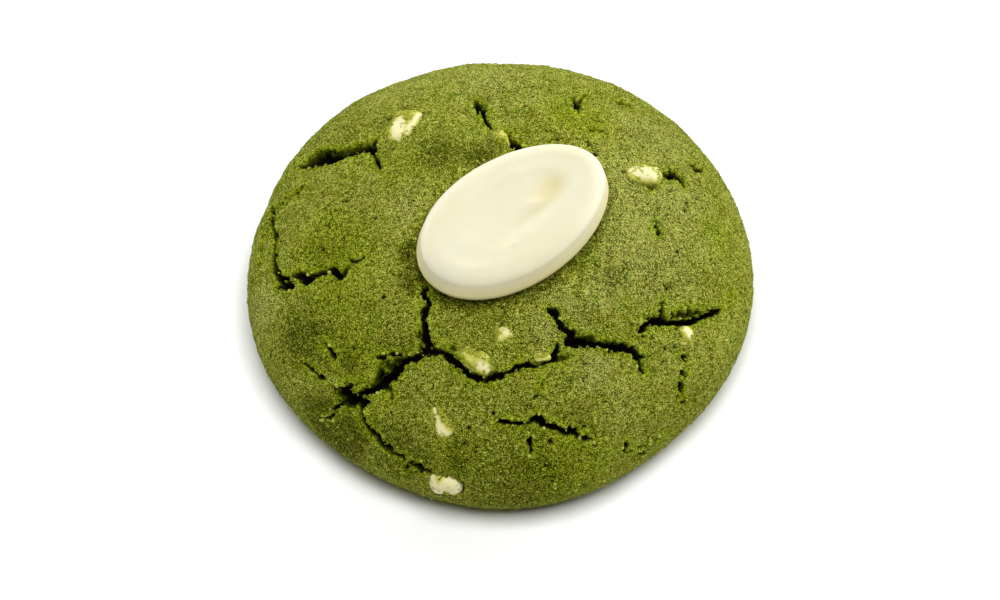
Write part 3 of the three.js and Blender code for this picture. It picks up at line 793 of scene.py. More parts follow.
# Painted shade: a narrow band of darker crust round the disc, the disc's shadow.
DISC_PAINTED_SHADE = 0.75
DISC_PAINTED_SHADE_REACH = 1.4


def blotches(points, places):
    """The largest of some bells over the dome, each with a place, a reach and a weight."""
    found = np.zeros(len(points))
    for x, y, reach, weight in places:
        away = np.linalg.norm(points - on_dome([(x, y)]), axis=1)
        found = np.maximum(found, weight * bell(away, reach))
    return found


def colour_fields(points):
    """One layer for each kind of blotch. The shade also holds a painted shadow close round the disc.
    """
    fields = {name: blotches(points, places) for name, places in BLOTCHES.items()}
    painted_disc_shadow = DISC_PAINTED_SHADE * bell(disc_distance(points), DISC_PAINTED_SHADE_REACH)
    fields["shade"] = np.maximum(fields["shade"], painted_disc_shadow)
    return fields


print("blotches:", {name: len(places) for name, places in BLOTCHES.items()})

# %% [markdown]
# ## Ragged edges
#
# Dough tears along its crumbs. First the line of a tear wanders: its distance is measured from a
# point that soft noise has moved a little. Then each crumb and each clump moves the edge by a
# random step of its own. Narrow cracks get smaller steps, so that they don't close up.

# %% Ragged distances
WANDER = ((2.1, 0.16), (0.75, 0.10))
CRUMB_SIZE = 0.4
CLUMP_SIZE = 0.75
CRUMB_STEP = 0.28
CLUMP_STEP = 0.6
GRAIN_STEP = (0.4, 0.14)
STEP_SHARES = dict(shelf=1.2, pit=0.3, hollow=1.5, bare=0.9)
NARROW_STEP_SHARE = 0.15
FULL_STEP_WIDTH = 1.1
WIDENED = 0.05


def wandered(points):
    """The points moved by soft noise in all three directions, at two scales."""
    moved = points.copy()
    for scale, (size, reach) in enumerate(WANDER):
        shift = [soft_noise(points, size, 10 * scale + k) for k in range(3)]
        moved += reach * np.stack(shift, axis=-1)
    return moved


def ragged_edges(points, crumb, clump):
    """Distances to the edges of the cracks, shelves, pits, the hollow and the bare spots, each
    moved by its share of the crumbs' random steps, and the width of the nearest crack."""
    moved = wandered(points)
    step = (CRUMB_STEP * (crumb - 0.5) + CLUMP_STEP * (clump - 0.5)
            + noise_sum(points, [GRAIN_STEP], seed=60))
    crack, width = nearest_edge(moved, CRACK_PARTS)
    step_share = np.clip(width / FULL_STEP_WIDTH, NARROW_STEP_SHARE, 1)
    plain = dict(shelf=nearest_edge(moved, SHELF_PARTS)[0],
                 pit=nearest_edge(points, PIT_PARTS)[0] - WIDENED,
                 hollow=nearest_edge(moved, HOLLOW_PARTS)[0],
                 bare=nearest_edge(moved, BARE_PARTS)[0])
    edges = {name: distance + STEP_SHARES[name] * step for name, distance in plain.items()}
    edges["crack"] = crack - WIDENED + step_share * step
    return edges, width


# %% [markdown]
# ## Depth of the tears
#
# Inside a tear the surface drops off a short steep wall to an uneven floor. A wide crack tore
# deeper than a narrow one. A shelf is crust that slumped, so it is shallow with a gentle wall.
# Where two of these overlap, the deeper one counts. `DROPS` gives a depth and a wall's run.

# %% Drops
CRACK_DEPTH = 0.5
CRACK_DEPTH_PER_WIDTH = 1.9
CRACK_DEEPEST = 2.8
CRACK_WALL = 0.06
CRACK_WALL_PER_WIDTH = 0.3
DROPS = {"shelf": (1.1, 0.8), "pit": (0.7, 0.16), "hollow": (2.3, 0.9)}
WALL_POWER = 0.75
ROUGH_FLOOR = (0.8, 0.3)


def wall(edge, run):
    """0 outside an edge, rising to 1 within a short run inside it."""
    return np.clip(-edge / run, 0, 1) ** WALL_POWER


def tear_depth(points, edges, width):
    """The deepest of all drops, times a rough floor. A drop is its depth times its wall."""
    deep = np.minimum(CRACK_DEPTH + CRACK_DEPTH_PER_WIDTH * width, CRACK_DEEPEST)
    drop = deep * wall(edges["crack"], CRACK_WALL_PER_WIDTH * width + CRACK_WALL)
    for name, (depth, run) in DROPS.items():
        drop = np.maximum(drop, depth * wall(edges[name], run))
    return drop * (1 + noise_sum(points, [ROUGH_FLOOR], seed=61))


# %% [markdown]
# ## Swells and grain
#
# The skin between the tears is uneven at every scale. Slow swells and small lumps come first,
# and fade low on the side, where the outline is smooth. Crumbs and fine grain make it sandy.
# Close to a tear the crust rounds down and is rougher, with clods of torn dough.

# %% Swells and grain
SWELL_HEIGHT = 0.16
SWELL_LENGTH = 15.0
SWELL_SKEWS = (0.6, 0.4)
SWELL_PHASE = 1.0
LUMPS = ((5.5, 0.12), (2.2, 0.12))
SMALL_LUMPS = (0.9, 0.09)
CALM_BELOW, LIVELY_ABOVE = 9.0, 18.0
CALM_SHARE = 0.15
LIP_SINK = 0.6
LIP_SINK_REACH = 2.8
LIP_REACH = 0.8
CRUMB_ROUND, CLUMP_ROUND = 0.62, 0.6
CRUMB_HEIGHT = 0.08
LOWEST_CRUMB_SHARE = 0.4
LIP_CRUMB_HEIGHT = 0.08
LIP_CLOD_HEIGHT = 0.46
FINE_GRAIN = (0.3, 0.03)


def swells(points):
    """Two crossed sine waves and two lumpy noises, calmer low down, and small lumps all over."""
    x, y, z = points.T
    turn = 2 * np.pi / SWELL_LENGTH
    first = np.sin(turn * (x + SWELL_SKEWS[0] * z))
    second = np.sin(turn * (y - SWELL_SKEWS[1] * x) + SWELL_PHASE)
    lively = CALM_SHARE + (1 - CALM_SHARE) * ease(z, CALM_BELOW, LIVELY_ABOVE)
    slow = SWELL_HEIGHT * first * second + noise_sum(points, LUMPS, seed=62)
    return lively * slow + noise_sum(points, [SMALL_LUMPS], seed=64)


def mound(gap, reach):
    """A round mound over each cell's centre: 1 less the square of the share of its reach."""
    return np.clip(1 - (gap / reach) ** 2, 0, 1)


def grain(points, crumb_gap, crumb, clump_gap, clump, lip):
    """Mounds on the crumbs everywhere, mounds on the clumps at the lips, and fine noise."""
    tall = LOWEST_CRUMB_SHARE + (1 - LOWEST_CRUMB_SHARE) * crumb
    crumbs = mound(crumb_gap, CRUMB_ROUND) * tall
    clods = mound(clump_gap, CLUMP_ROUND) * clump
    return ((CRUMB_HEIGHT + LIP_CRUMB_HEIGHT * lip) * crumbs + LIP_CLOD_HEIGHT * lip * clods
            + noise_sum(points, [FINE_GRAIN], seed=65))


# %% [markdown]
# ## All of the relief
#
# The height over the plain dome is a sum: swells and grain, less the sinking towards each lip.
# Over a chunk the dough is at least a thin film. In a bare spot it stays below the chunk. Then
# the tears are taken off. All of it fades out from the widest line down to the flat base.

# %% Relief
FILM = 0.12
FILM_UNEVEN = (0.7, 1.0)
WINDOW_DEPTH = 0.35
VEIL_INSIDE = (0.0, 0.35)
VEIL_ROUND_BARE = (-1.3, -0.2)


def crust_relief(points):
    """Height over the plain dome in millimetres, and the layers that the material reads."""
    crumb_gap, crumb = crumb_cells(points, CRUMB_SIZE, seed=50)
    clump_gap, clump = crumb_cells(points, CLUMP_SIZE, seed=55)
    edges, width = ragged_edges(points, crumb, clump)
    drop = tear_depth(points, edges, width)
    open_edge = np.minimum(np.minimum(edges["crack"], edges["shelf"]), edges["hollow"])
    outside = np.maximum(open_edge, 0)
    height = (swells(points) + grain(points, crumb_gap, crumb, clump_gap, clump,
                                     bell(outside, LIP_REACH))
              - LIP_SINK * bell(outside, LIP_SINK_REACH))

    above, inside = chunk_above(points)
    bare = edges["bare"]
    film = FILM * (1 + noise_sum(points, [FILM_UNEVEN], seed=66))
    height = np.maximum(height, np.where(open_edge > 0, above + film, -FAR))
    height = np.where(bare < 0, np.minimum(height, above - WINDOW_DEPTH), height) - drop
    veil = ease(inside, *VEIL_INSIDE) * ease(-bare, *VEIL_ROUND_BARE)
    layers = dict(depth=drop, edge=open_edge, tear=np.minimum(edges["crack"], edges["pit"]),
                  veil=veil, bare=bare, **colour_fields(points))
    fade = np.clip(points[:, 2] / WIDEST_HEIGHT, 0, 1)
    return fade * height, layers


# %% [markdown]
# ## The dough in one piece
#
# The relief moves each place of the grid outwards or inwards. Under the disc the dough is held
# just below the disc's underside, and climbs steeply beside it, so that the disc looks pressed
# in. A ring and a middle corner close the flat base. The print says how far the dough reaches.

# %% The dough
SEAT_GAP = 0.15
SEAT_INSET = 0.22
SEAT_CLIMB = 4.0
BASE_RING_SHARE = 0.5
BASE_LAYERS = dict(depth=0, edge=EDGE_REACH, tear=EDGE_REACH, veil=0, bare=EDGE_REACH,
                   **dict.fromkeys(BLOTCHES, 0))


def press_under_disc(points):
    """Keeps the dough below the disc. The limit is just under the disc inside the oval, and
    climbs steeply from a little inside its outline."""
    climb = SEAT_CLIMB * np.maximum(disc_distance(points) + SEAT_INSET, 0)
    pressed = points.copy()
    pressed[:, 2] = np.clip(points[:, 2], 0, DISC_BOTTOM - SEAT_GAP + climb)
    return pressed


def add_dough():
    """The grid over the dome and the edge, closed by a ring and a middle corner for the base."""
    points, normals = crust_place(grid_places)
    height, layers = crust_relief(points)
    crust = press_under_disc(points + height[:, None] * normals)
    side = GRID_CELLS + 1
    number = np.arange(side * side).reshape(side, side)
    rim = np.concatenate([number[0, :-1], number[:-1, -1], number[-1, :0:-1], number[:0:-1, 0]])
    inner = crust[rim] * (BASE_RING_SHARE, BASE_RING_SHARE, 0)
    ring = side * side + np.arange(len(rim))
    base = np.stack([np.roll(rim, -1), rim, ring, np.roll(ring, -1)], axis=-1)
    base_middle = fan_faces(ring, side * side + len(rim))[:, ::-1]
    faces = [grid_faces(side, side), base, base_middle]
    piece = add_piece("cookie_dough", np.vstack([crust, inner, np.zeros((1, 3))]), faces)
    for name, value in BASE_LAYERS.items():
        give_values(piece, name, np.append(layers[name], np.full(len(rim) + 1, value)))
    return piece, crust, layers


dough, crust_points, crust_layers = add_dough()
print("dough reaches, mm:", crust_points.max(axis=0).round(2))
print("share of it in tears:", round(float((crust_layers["depth"] > CRACK_DEPTH).mean()), 3))

# %% [markdown]
# ## The oval disc
#
# The disc was cast in a shallow mould: a rounded foot, a wall that leans in a little and a soft
# rim. A lathe would do for a round one. For an oval the same section is carried round an
# ellipse, each place of it inset by its own amount, which keeps the wall equally steep all round.

# %% The disc's section
DISC_FOOT = 1.4
DISC_RIM_ACROSS = 2.3
DISC_RIM_DOWN = 1.7
DISC_DRAFT = 0.45
DISC_CORNER_STEPS = 12
DISC_UNDER_SHARES = np.linspace(0.1, 0.95, 6)
DISC_SIDE_SHARES = np.linspace(0, 1, 8)[1:-1]
DISC_TOP_SHARES = np.linspace(0.98, 0.02, 44)
DISC_COLUMNS = 240


def section_corner(across, up, lean, middle, start):
    """A quarter of an ellipse in the section: inset by its lean and by across * (1 - cos),
    at a height of its middle plus up * sin."""
    turn = np.radians(np.linspace(start, start + 90, DISC_CORNER_STEPS))
    inset = lean + across * (1 - np.cos(turn))
    return np.stack([np.ones(len(turn)), inset, middle + up * np.sin(turn)], axis=-1)


def disc_section():
    """Share (how far out a place is from the middle), inset from the oval and height, from the
    middle of the underside round the foot, the wall and the rim to the middle of the top."""
    rim_middle = DISC_THICKNESS - DISC_RIM_DOWN
    under = [(share, DISC_FOOT, 0.0) for share in DISC_UNDER_SHARES]
    foot = section_corner(DISC_FOOT, DISC_FOOT, 0.0, DISC_FOOT, -90)
    rim = section_corner(DISC_RIM_ACROSS, DISC_RIM_DOWN, DISC_DRAFT, rim_middle, 0)
    side = foot[-1] + DISC_SIDE_SHARES[:, None] * (rim[0] - foot[-1])
    top = [(share, rim[-1, 1], DISC_THICKNESS) for share in DISC_TOP_SHARES]
    return np.vstack([under, foot, side, rim, top])


disc_rings = disc_section()
print("rings of the disc:", len(disc_rings))

# %% [markdown]
# As it set, the top sank. A low ridge runs round inside the rim, and where the chocolate was
# poured there is a dimple, with a small fold beside it and a shallow valley below. A stretched
# and turned bell makes each of them. Each line below gives a bell's place along and across the
# disc, its reach both ways, its turn in degrees and its height.

# %% The disc's top
RIDGE_SHARE, RIDGE_REACH, RIDGE_HEIGHT = 0.72, 0.12, 0.08
DISH_DEPTH = 0.18
DISH_FROM = 0.1
TOP_BLEND = 0.06
TOP_BELLS = {
    "dimple": [(6.0, -0.3, 3.2, 2.0, 15, -0.30), (6.4, -0.4, 1.2, 0.9, 0, -0.05)],
    "valley": [(0.5, -2.0, 5.5, 1.1, 6, -0.28), (-7.8, -2.4, 2.6, 1.4, 4, -0.12)],
    "fold": [(2.6, -0.9, 1.7, 0.6, -10, 0.24), (-4.1, -4.7, 0.6, 0.3, 0, -0.10)],
}
VALLEY_TINT = 0.5
DISC_UNEVEN = (2.5, 0.02)


def top_bell(along, across, x, y, long, short, degrees, height):
    """A bell over the disc's plan, stretched to two reaches and turned about its own middle."""
    turn = math.radians(degrees)
    u = (along - x) * math.cos(turn) + (across - y) * math.sin(turn)
    v = (across - y) * math.cos(turn) - (along - x) * math.sin(turn)
    return height * bell(u, long) * bell(v, short)


def disc_relief(along, across, share):
    """Height added to the flat top: a ridge inside the rim, a soft dish and the bells, blended
    out at the rim. Also how hollow the top is, for the colour: dimple and part of the valley."""
    ridge = RIDGE_HEIGHT * bell(share - RIDGE_SHARE, RIDGE_REACH)
    dish = -DISH_DEPTH * (1 - ease(share, DISH_FROM, 1.0))
    forms = {name: sum(top_bell(along, across, *values) for values in bells)
             for name, bells in TOP_BELLS.items()}
    on_top = ease(1 - share, 0.0, TOP_BLEND)
    hollow = -(forms["dimple"] + VALLEY_TINT * forms["valley"])
    return (ridge + dish + sum(forms.values())) * on_top, hollow * on_top


# %% [markdown]
# Now the section goes round the oval. The relief is added on the top alone, and the middle of
# the top and of the underside are closed with a fan of triangles.

# %% The disc
def add_disc():
    """Each place of the section sits on an ellipse shrunk by its inset, narrowed to the right
    end, times its share. The plan is then turned and moved to the disc's middle."""
    angle = np.linspace(0, 2 * np.pi, DISC_COLUMNS, endpoint=False)
    share, inset, height = (column[:, None] for column in disc_rings.T)
    along = share * (DISC_LENGTH / 2 - inset) * np.cos(angle)
    across = share * (DISC_WIDTH / 2 - inset) * np.sin(angle) * (1 - DISC_TAPER * np.cos(angle))
    on_top = height >= DISC_THICKNESS - TINY
    relief, hollow = (np.where(on_top, layer, 0)
                      for layer in disc_relief(along, across, share + 0 * angle))
    local = np.stack([along, across, height + relief], axis=-1).reshape(-1, 3)
    local = np.vstack([local, [0, 0, 0], [0, 0, DISC_THICKNESS + relief[-1].mean()]])
    local[:, 2] += noise_sum(local, [DISC_UNEVEN], seed=80)
    cosine, sine = math.cos(DISC_TURN), math.sin(DISC_TURN)
    turn = np.array([[cosine, -sine, 0], [sine, cosine, 0], [0, 0, 1]])
    points = local @ turn.T + (*DISC_CENTRE, DISC_BOTTOM)
    piece = add_piece("oval_disc", points, capped_faces(len(disc_rings), DISC_COLUMNS))
    give_values(piece, "hollow", np.append(hollow.ravel(), [0.0, hollow[-1].mean()]))
    give_values(piece, "height", local[:, 2])
    return piece


disc = add_disc()

# %% [markdown]
# ## The chunks
#
# Broken chocolate that melted a little and set again is a blunt lump. A ball is pressed towards
# a box by a power under one, made uneven by noise, and laid along the crust. Each corner keeps
# its distance to the bare spots, where the white shows through the green film of dough.

# %% Lumps of chocolate
CHUNK_COLUMNS = 56
CHUNK_ROWS = 30
CHUNK_UNEVEN = ((1.7, 0.13), (0.8, 0.14), (0.35, 0.08))


def add_chunk(chunk, seed):
    """A ball's rows and columns; each coordinate keeps its sign and takes the boxiness power.
    The rows run from the top down, so the faces are turned over to point outwards."""
    half, middle, axes = chunk_frame(chunk)
    fall = np.linspace(0, np.pi, CHUNK_ROWS + 2)[1:-1, None]
    angle = np.linspace(0, 2 * np.pi, CHUNK_COLUMNS, endpoint=False)
    ball = np.stack([np.sin(fall) * np.cos(angle), np.sin(fall) * np.sin(angle),
                     np.cos(fall) + 0 * angle], axis=-1).reshape(-1, 3)
    ball = np.vstack([ball, [0, 0, 1], [0, 0, -1]])
    points = middle + (np.sign(ball) * np.abs(ball) ** CHUNK_BOXINESS * half) @ axes
    outward = (ball / half) @ axes
    outward /= np.linalg.norm(outward, axis=1, keepdims=True)
    points = points + noise_sum(points, CHUNK_UNEVEN, seed)[:, None] * outward
    faces = [block[:, ::-1] for block in capped_faces(CHUNK_ROWS, CHUNK_COLUMNS)]
    piece = add_piece("lump_" + chunk["name"], points, faces)
    give_values(piece, "bare", nearest_edge(points, stretches(chunk["bare"]))[0])
    return piece


lumps = {chunk["name"]: add_chunk(chunk, 300 + 5 * k) for k, chunk in enumerate(CHUNKS)}

# %% [markdown]
# ## Loose crumbs
#
# Torn dough sheds crumbs, most of them along the lips of the cracks. Thousands of them are
# needed, so each is the plainest solid that looks round: a stone with twenty faces. It is built
# once, and arrays stretch, turn and place all of its copies at the same time.

# %% One stone
def icosahedron():
    """Twelve corners on a unit ball, from the golden ratio, and the twenty faces: all threes of
    corners that are next to each other, ordered so that they face outwards."""
    golden = (1 + math.sqrt(5)) / 2
    corners = [(0, s, t * golden) for s in (-1, 1) for t in (-1, 1)]
    corners += [(s, t * golden, 0) for s in (-1, 1) for t in (-1, 1)]
    corners += [(t * golden, 0, s) for s in (-1, 1) for t in (-1, 1)]
    corners = np.array(corners, float)
    edge = 2.0
    close = np.linalg.norm(corners[:, None] - corners, axis=2) < edge + TINY
    faces = [three for three in itertools.combinations(range(12), 3)
             if all(close[a, b] for a, b in itertools.combinations(three, 2))]
    faces = np.array(faces)
    a, b, c = (corners[faces[:, k]] for k in range(3))
    inside_out = np.einsum("ij,ij->i", np.cross(b - a, c - a), a) < 0
    faces[inside_out] = faces[inside_out][:, ::-1]
    return corners / np.linalg.norm(corners[0]), faces


STONE, STONE_FACES = icosahedron()
print("a stone has", len(STONE), "corners and", len(STONE_FACES), "faces")

# %% [markdown]
# Where do crumbs lie? Chance picks corners of the crust, and a lip is far likelier than plain
# crust. The grid is finer near the edges, so each place is weighed by the room that it stands
# for. No crumb lies on the disc or in a bare spot, deep in a tear or low on the side.

# %% Places of the crumbs
CRUMB_COUNT = 6500
CRUMB_CHANCE_PLAIN = 0.12
CRUMB_CHANCE_LIP = 4.0
CRUMB_CHANCE_TEAR = 0.8
CRUMB_LIP_REACH = 0.6
CRUMB_TEAR_FROM, CRUMB_TEAR_TO = 0.15, 0.9
CRUMB_BARE_GAP = 0.1
CRUMB_DISC_GAP = 0.15
CRUMB_LOWEST = 3.0


def crumb_places(chance):
    """The corner numbers of the crust at which crumbs lie, picked by their likelihood."""
    edge, depth = crust_layers["edge"], crust_layers["depth"]
    on_skin = CRUMB_CHANCE_PLAIN + CRUMB_CHANCE_LIP * bell(edge, CRUMB_LIP_REACH)
    likely = np.where(depth < CRUMB_TEAR_FROM, on_skin, CRUMB_CHANCE_TEAR)
    allowed = (depth < CRUMB_TEAR_TO) & (crust_layers["bare"] > CRUMB_BARE_GAP)
    allowed &= crust_points[:, 2] > CRUMB_LOWEST
    allowed &= disc_distance(crust_points) > CRUMB_DISC_GAP
    room = 1 / (1 + CROWD_PULL * bell(edge, CROWD_REACH)) ** 2
    likely = likely * allowed * room
    return chance.choice(len(likely), CRUMB_COUNT, replace=False, p=likely / likely.sum())


# %% [markdown]
# Most crumbs are small and a few are large, which a power of an even chance gives. Each corner
# of a stone moves in or out, then the stone is stretched, turned and sunk to about half its
# height. A random matrix made square-cornered is a random turn.

# %% The crumbs
CRUMB_LEAST = 0.14
CRUMB_SPREAD = 0.26
CRUMB_SMALLNESS = 2.5
LIP_CRUMB_GROWTH = 0.3
LIP_CRUMB_WITHIN = 0.5
CRUMB_UNEVEN = 0.22
CRUMB_STRETCH = (0.75, 1.25)
CRUMB_OUT_NEAR_LIP, CRUMB_OUT_ELSEWHERE = 0.1, -0.2
CRUMB_NEAR_LIP = 1.0


def crust_normals():
    """The outward directions at the corners of the crust, as Blender works them out."""
    mesh = dough.data
    normals = np.empty(len(mesh.vertices) * 3, np.float32)
    mesh.vertex_normals.foreach_get("vector", normals)
    return normals.reshape(-1, 3)[:len(crust_points)]


def add_crumbs():
    """A stretched and turned stone at each picked place, all joined in one mesh."""
    chance = np.random.default_rng(7)
    chosen = crumb_places(chance)
    corners, edge = len(STONE), crust_layers["edge"][chosen]
    radius = (CRUMB_LEAST + CRUMB_SPREAD * chance.random(CRUMB_COUNT) ** CRUMB_SMALLNESS) / 2
    radius *= 1 + LIP_CRUMB_GROWTH * (edge < LIP_CRUMB_WITHIN)
    turns = np.linalg.qr(chance.normal(size=(CRUMB_COUNT, 3, 3)))[0]
    turns *= np.sign(np.linalg.det(turns))[:, None, None]
    shape = STONE * (1 + CRUMB_UNEVEN * chance.uniform(-1, 1, (CRUMB_COUNT, corners, 1)))
    shape = shape * chance.uniform(*CRUMB_STRETCH, (CRUMB_COUNT, 1, 3)) * radius[:, None, None]
    out = np.where(edge < CRUMB_NEAR_LIP, CRUMB_OUT_NEAR_LIP, CRUMB_OUT_ELSEWHERE) * radius
    middle = crust_points[chosen] + out[:, None] * crust_normals()[chosen]
    points = (np.einsum("nij,nkj->nki", turns, shape) + middle[:, None]).reshape(-1, 3)
    faces = (STONE_FACES + corners * np.arange(CRUMB_COUNT)[:, None, None]).reshape(-1, 3)
    piece = add_piece("loose_crumbs", points, [faces], smooth=False)
    give_values(piece, "tone", np.repeat(chance.random(CRUMB_COUNT), corners))
    give_values(piece, "depth", np.repeat(crust_layers["depth"][chosen], corners))
    return piece


crumbs = add_crumbs()

# %% [markdown]
# ## Writing materials as sums
#
# A colour is easiest to name as it looks on a screen, from 0 to 255. Light itself adds up on
# another scale, and that is what the nodes take. So each colour is turned into it once, here.

# %% Paint
def paint(red, green, blue):
    """A colour named by its 0 to 255 screen values, as the linear values that nodes take."""
    def linear(value):
        value /= 255
        return value / 12.92 if value <= 0.04045 else ((value + 0.055) / 1.055) ** 2.4

    return (linear(red), linear(green), linear(blue), 1.0)


print("mid grey in linear light:", [round(part, 3) for part in paint(128, 128, 128)])


# %% [markdown]
# A material is arithmetic on patterns. A wire stands for one output of a node, and adding or
# multiplying wires adds the Math nodes that do it. Colours are mixed by Mix nodes, because a
# Math node would turn them grey.

# %% Wires
class Wire:
    """One output socket of a node in a material. Arithmetic on wires adds Math nodes."""

    def __init__(self, tree, socket=None):
        self.tree = tree
        self.socket = socket

    def node(self, kind, settings, sockets, output=0):
        """Any node: its settings first, then values or wires for its sockets."""
        node = self.tree.nodes.new("ShaderNode" + kind)
        for name, value in settings.items():
            setattr(node, name, value)
        for name, value in sockets.items():
            if isinstance(value, Wire):
                self.tree.links.new(value.socket, node.inputs[name])
            else:
                node.inputs[name].default_value = value
        return Wire(self.tree, node.outputs[output] if node.outputs else None)

    def math(self, operation, *values):
        """A Math node on some values or wires."""
        return self.node("Math", {"operation": operation}, dict(enumerate(values)))

    def __add__(self, other):
        return self.math("ADD", self, other)

    def __sub__(self, other):
        return self.math("SUBTRACT", self, other)

    def __rsub__(self, other):
        return self.math("SUBTRACT", other, self)

    def __mul__(self, other):
        return self.math("MULTIPLY", self, other)

    __radd__ = __add__
    __rmul__ = __mul__

    def rising(self, low, high):
        """0 below low, 1 above high, smooth between: a mask from a value."""
        settings = {"interpolation_type": "SMOOTHSTEP"}
        return self.node("MapRange", settings, {0: self, 1: low, 2: high, 3: 0.0, 4: 1.0})

    def falling(self, low, high):
        """1 below low, 0 above high: the same mask turned over."""
        return 1 - self.rising(low, high)

    def mix(self, first, second):
        """This wire as a mask between two colours: the first at 0, the second at 1."""
        return self.node("Mix", {"data_type": "RGBA"}, {0: self, 6: first, 7: second}, 2)


# %% [markdown]
# A finish holds what all materials here need: the place on the cookie, soft noise and random
# cells of a size in millimetres, the layers that the meshes store, and the closing surface.
# The place is read in the object's own coordinates, so patterns stay on the cookie from every
# side. Noise lies round one half, so `noise - 0.5` pushes a value up and down alike.

# %% A finish and its patterns
class Finish:
    """A material under work: its tree, its coordinates and the patterns that it reads."""

    def __init__(self, name):
        self.material = bpy.data.materials.new(name)
        self.material.use_nodes = True
        self.material.node_tree.nodes.clear()
        self.start = Wire(self.material.node_tree)
        self.place = self.start.node("TexCoord", {}, {}, "Object")

    def noise(self, size, detail=2.0, roughness=0.5):
        """Soft noise that changes over about a size in millimetres, around one half."""
        sockets = {"Vector": self.place, "Scale": 1 / (size * MM), "Detail": detail,
                   "Roughness": roughness}
        return self.start.node("TexNoise", {}, sockets)

    def shaken(self, size, reach):
        """The place moved up to half a reach in each direction by noise, so that patterns
        that are read there lose their straight sides."""
        sockets = {"Vector": self.place, "Scale": 1 / (size * MM), "Detail": 1.0}
        colour = self.start.node("TexNoise", {}, sockets, "Color")
        offset = self.start.node("VectorMath", {"operation": "SUBTRACT"}, {0: colour, 1: (0.5,) * 3})
        offset = self.start.node("VectorMath", {"operation": "SCALE"},
                                 {0: offset, "Scale": 2 * reach * MM})
        return self.start.node("VectorMath", {"operation": "ADD"}, {0: self.place, 1: offset})

    def cells(self, size, place, output="Distance", feature="F1"):
        """Random cells of about a size in millimetres: the distance to the nearest centre."""
        sockets = {"Vector": place, "Scale": 1 / (size * MM)}
        return self.start.node("TexVoronoi", {"feature": feature}, sockets, output)

    def lottery(self, size, place):
        """One random number for each cell of about a size."""
        return self.start.node("SeparateColor", {}, {0: self.cells(size, place, "Color")})

    def borders(self, size, place):
        """The distance to the nearest border between two cells."""
        return self.cells(size, place, feature="DISTANCE_TO_EDGE")

    def layer(self, name):
        """A number that the mesh keeps at its corners."""
        return self.start.node("Attribute", {"attribute_name": name}, {}, "Fac")

    def bump(self, height, depth):
        """A relief for the light only, of a depth in millimetres."""
        sockets = {"Height": height, "Distance": depth * MM, "Strength": 1.0}
        return self.start.node("Bump", {}, sockets)

    def surface(self, **sockets):
        """Ends the material in one Principled surface."""
        named = {name.replace("_", " "): value for name, value in sockets.items()}
        shader = self.start.node("BsdfPrincipled", {}, named)
        self.start.node("OutputMaterial", {}, {"Surface": shader})
        return self.material


# %% [markdown]
# ## The finish of baked matcha dough
#
# Baked matcha is an olive green of middle tone. Its ground colour follows the fields: paler and
# greyer where it is dusty and where light is painted on, deeper where it is moist, darker and
# browner in the painted shade. Its hue also drifts to moss and to olive in patches. The torn lips
# are moist, so they are yellower and richer, and they are painted brighter as a painted highlight.

# %% Ground colour of the crust
CRUST_MID = paint(128, 137, 12)
# Paler and greyer: a dusty bloom, and painted light on the lit fields.
CRUST_DUST_AND_LIGHT = paint(156, 160, 72)
CRUST_DEEP = paint(118, 130, 2)
CRUST_MOSS = paint(110, 132, 10)
CRUST_OLIVE = paint(138, 134, 30)
# Painted shade: darker and browner.
CRUST_PAINTED_SHADE = paint(80, 86, 6)
# The lips: moist and yellower, and painted brighter as a painted highlight where the lamp catches
# them.
CRUST_LIP_AND_HIGHLIGHT = paint(146, 164, 8)
FIELD_MASK = (0.15, 0.95)
HUE_SHARE = 0.75
MOSS_MASK, OLIVE_MASK = (0.5, 0.68), (0.32, 0.5)
PAINTED_SHADE_SHARE = 0.7
LIP_SHARE = 0.8
LIP_WIDTH = 1.3


def crust_fields(make, patch, broad):
    """Masks of the dusty and painted light, the deep and the painted shade fields, their borders
    broken up by noise.
    """
    drift = 0.5 * (patch - 0.5) + 0.6 * (broad - 0.5)
    return {name: (make.layer(name) + drift).rising(*FIELD_MASK) for name in BLOTCHES}


def lip_mask(make, patch):
    """Strong at the edge of a tear and gone within the lip's width, which noise varies."""
    return LIP_SHARE * (make.layer("edge") + 0.8 * (patch - 0.5)).falling(0.0, LIP_WIDTH)


def crust_ground(make, fields, near_lip):
    """The fields' colours, then two drifts of hue, the painted shade and the lips with their painted
    highlight.
    """
    colour = fields["dust_and_light"].mix(CRUST_MID, CRUST_DUST_AND_LIGHT)
    colour = fields["deep"].mix(colour, CRUST_DEEP)
    hue = make.noise(2.2, 3.0, 0.6)
    colour = (HUE_SHARE * hue.rising(*MOSS_MASK)).mix(colour, CRUST_MOSS)
    colour = (HUE_SHARE * hue.falling(*OLIVE_MASK)).mix(colour, CRUST_OLIVE)
    colour = (PAINTED_SHADE_SHARE * fields["shade"]).mix(colour, CRUST_PAINTED_SHADE)
    return near_lip.mix(colour, CRUST_LIP_AND_HIGHLIGHT)


# %% [markdown]
# The crust is sandy. Fine noise gives grains an eighth of a millimetre wide, and it is stronger
# in the dusty fields and weaker in the painted shade. Small cells give single grains of their own
# tone with dark seams between them, painted shade in the gaps. Borders of larger cells, shown only
# in places, are the short dark marks where grains parted, painted dark as the shadow in these
# gaps. All of them add up to one tone, around one half, which the painted shade lowers.

# %% Grain of the crust
GRAIN_CELL = 0.27
GRAIN_SHAKE = (0.25, 0.12)
SEAM_WIDTH = 0.16
MARK_CELL = 0.6
MARK_SHAKE = (0.45, 0.38)
MARK_WIDTH = 0.14
MARK_MASK = (0.46, 0.6)
TONE_MIDDLE = 0.66
SAND, SAND_IN_DUST_AND_LIGHT, SAND_IN_PAINTED_SHADE = 3.5, 0.9, -1.2


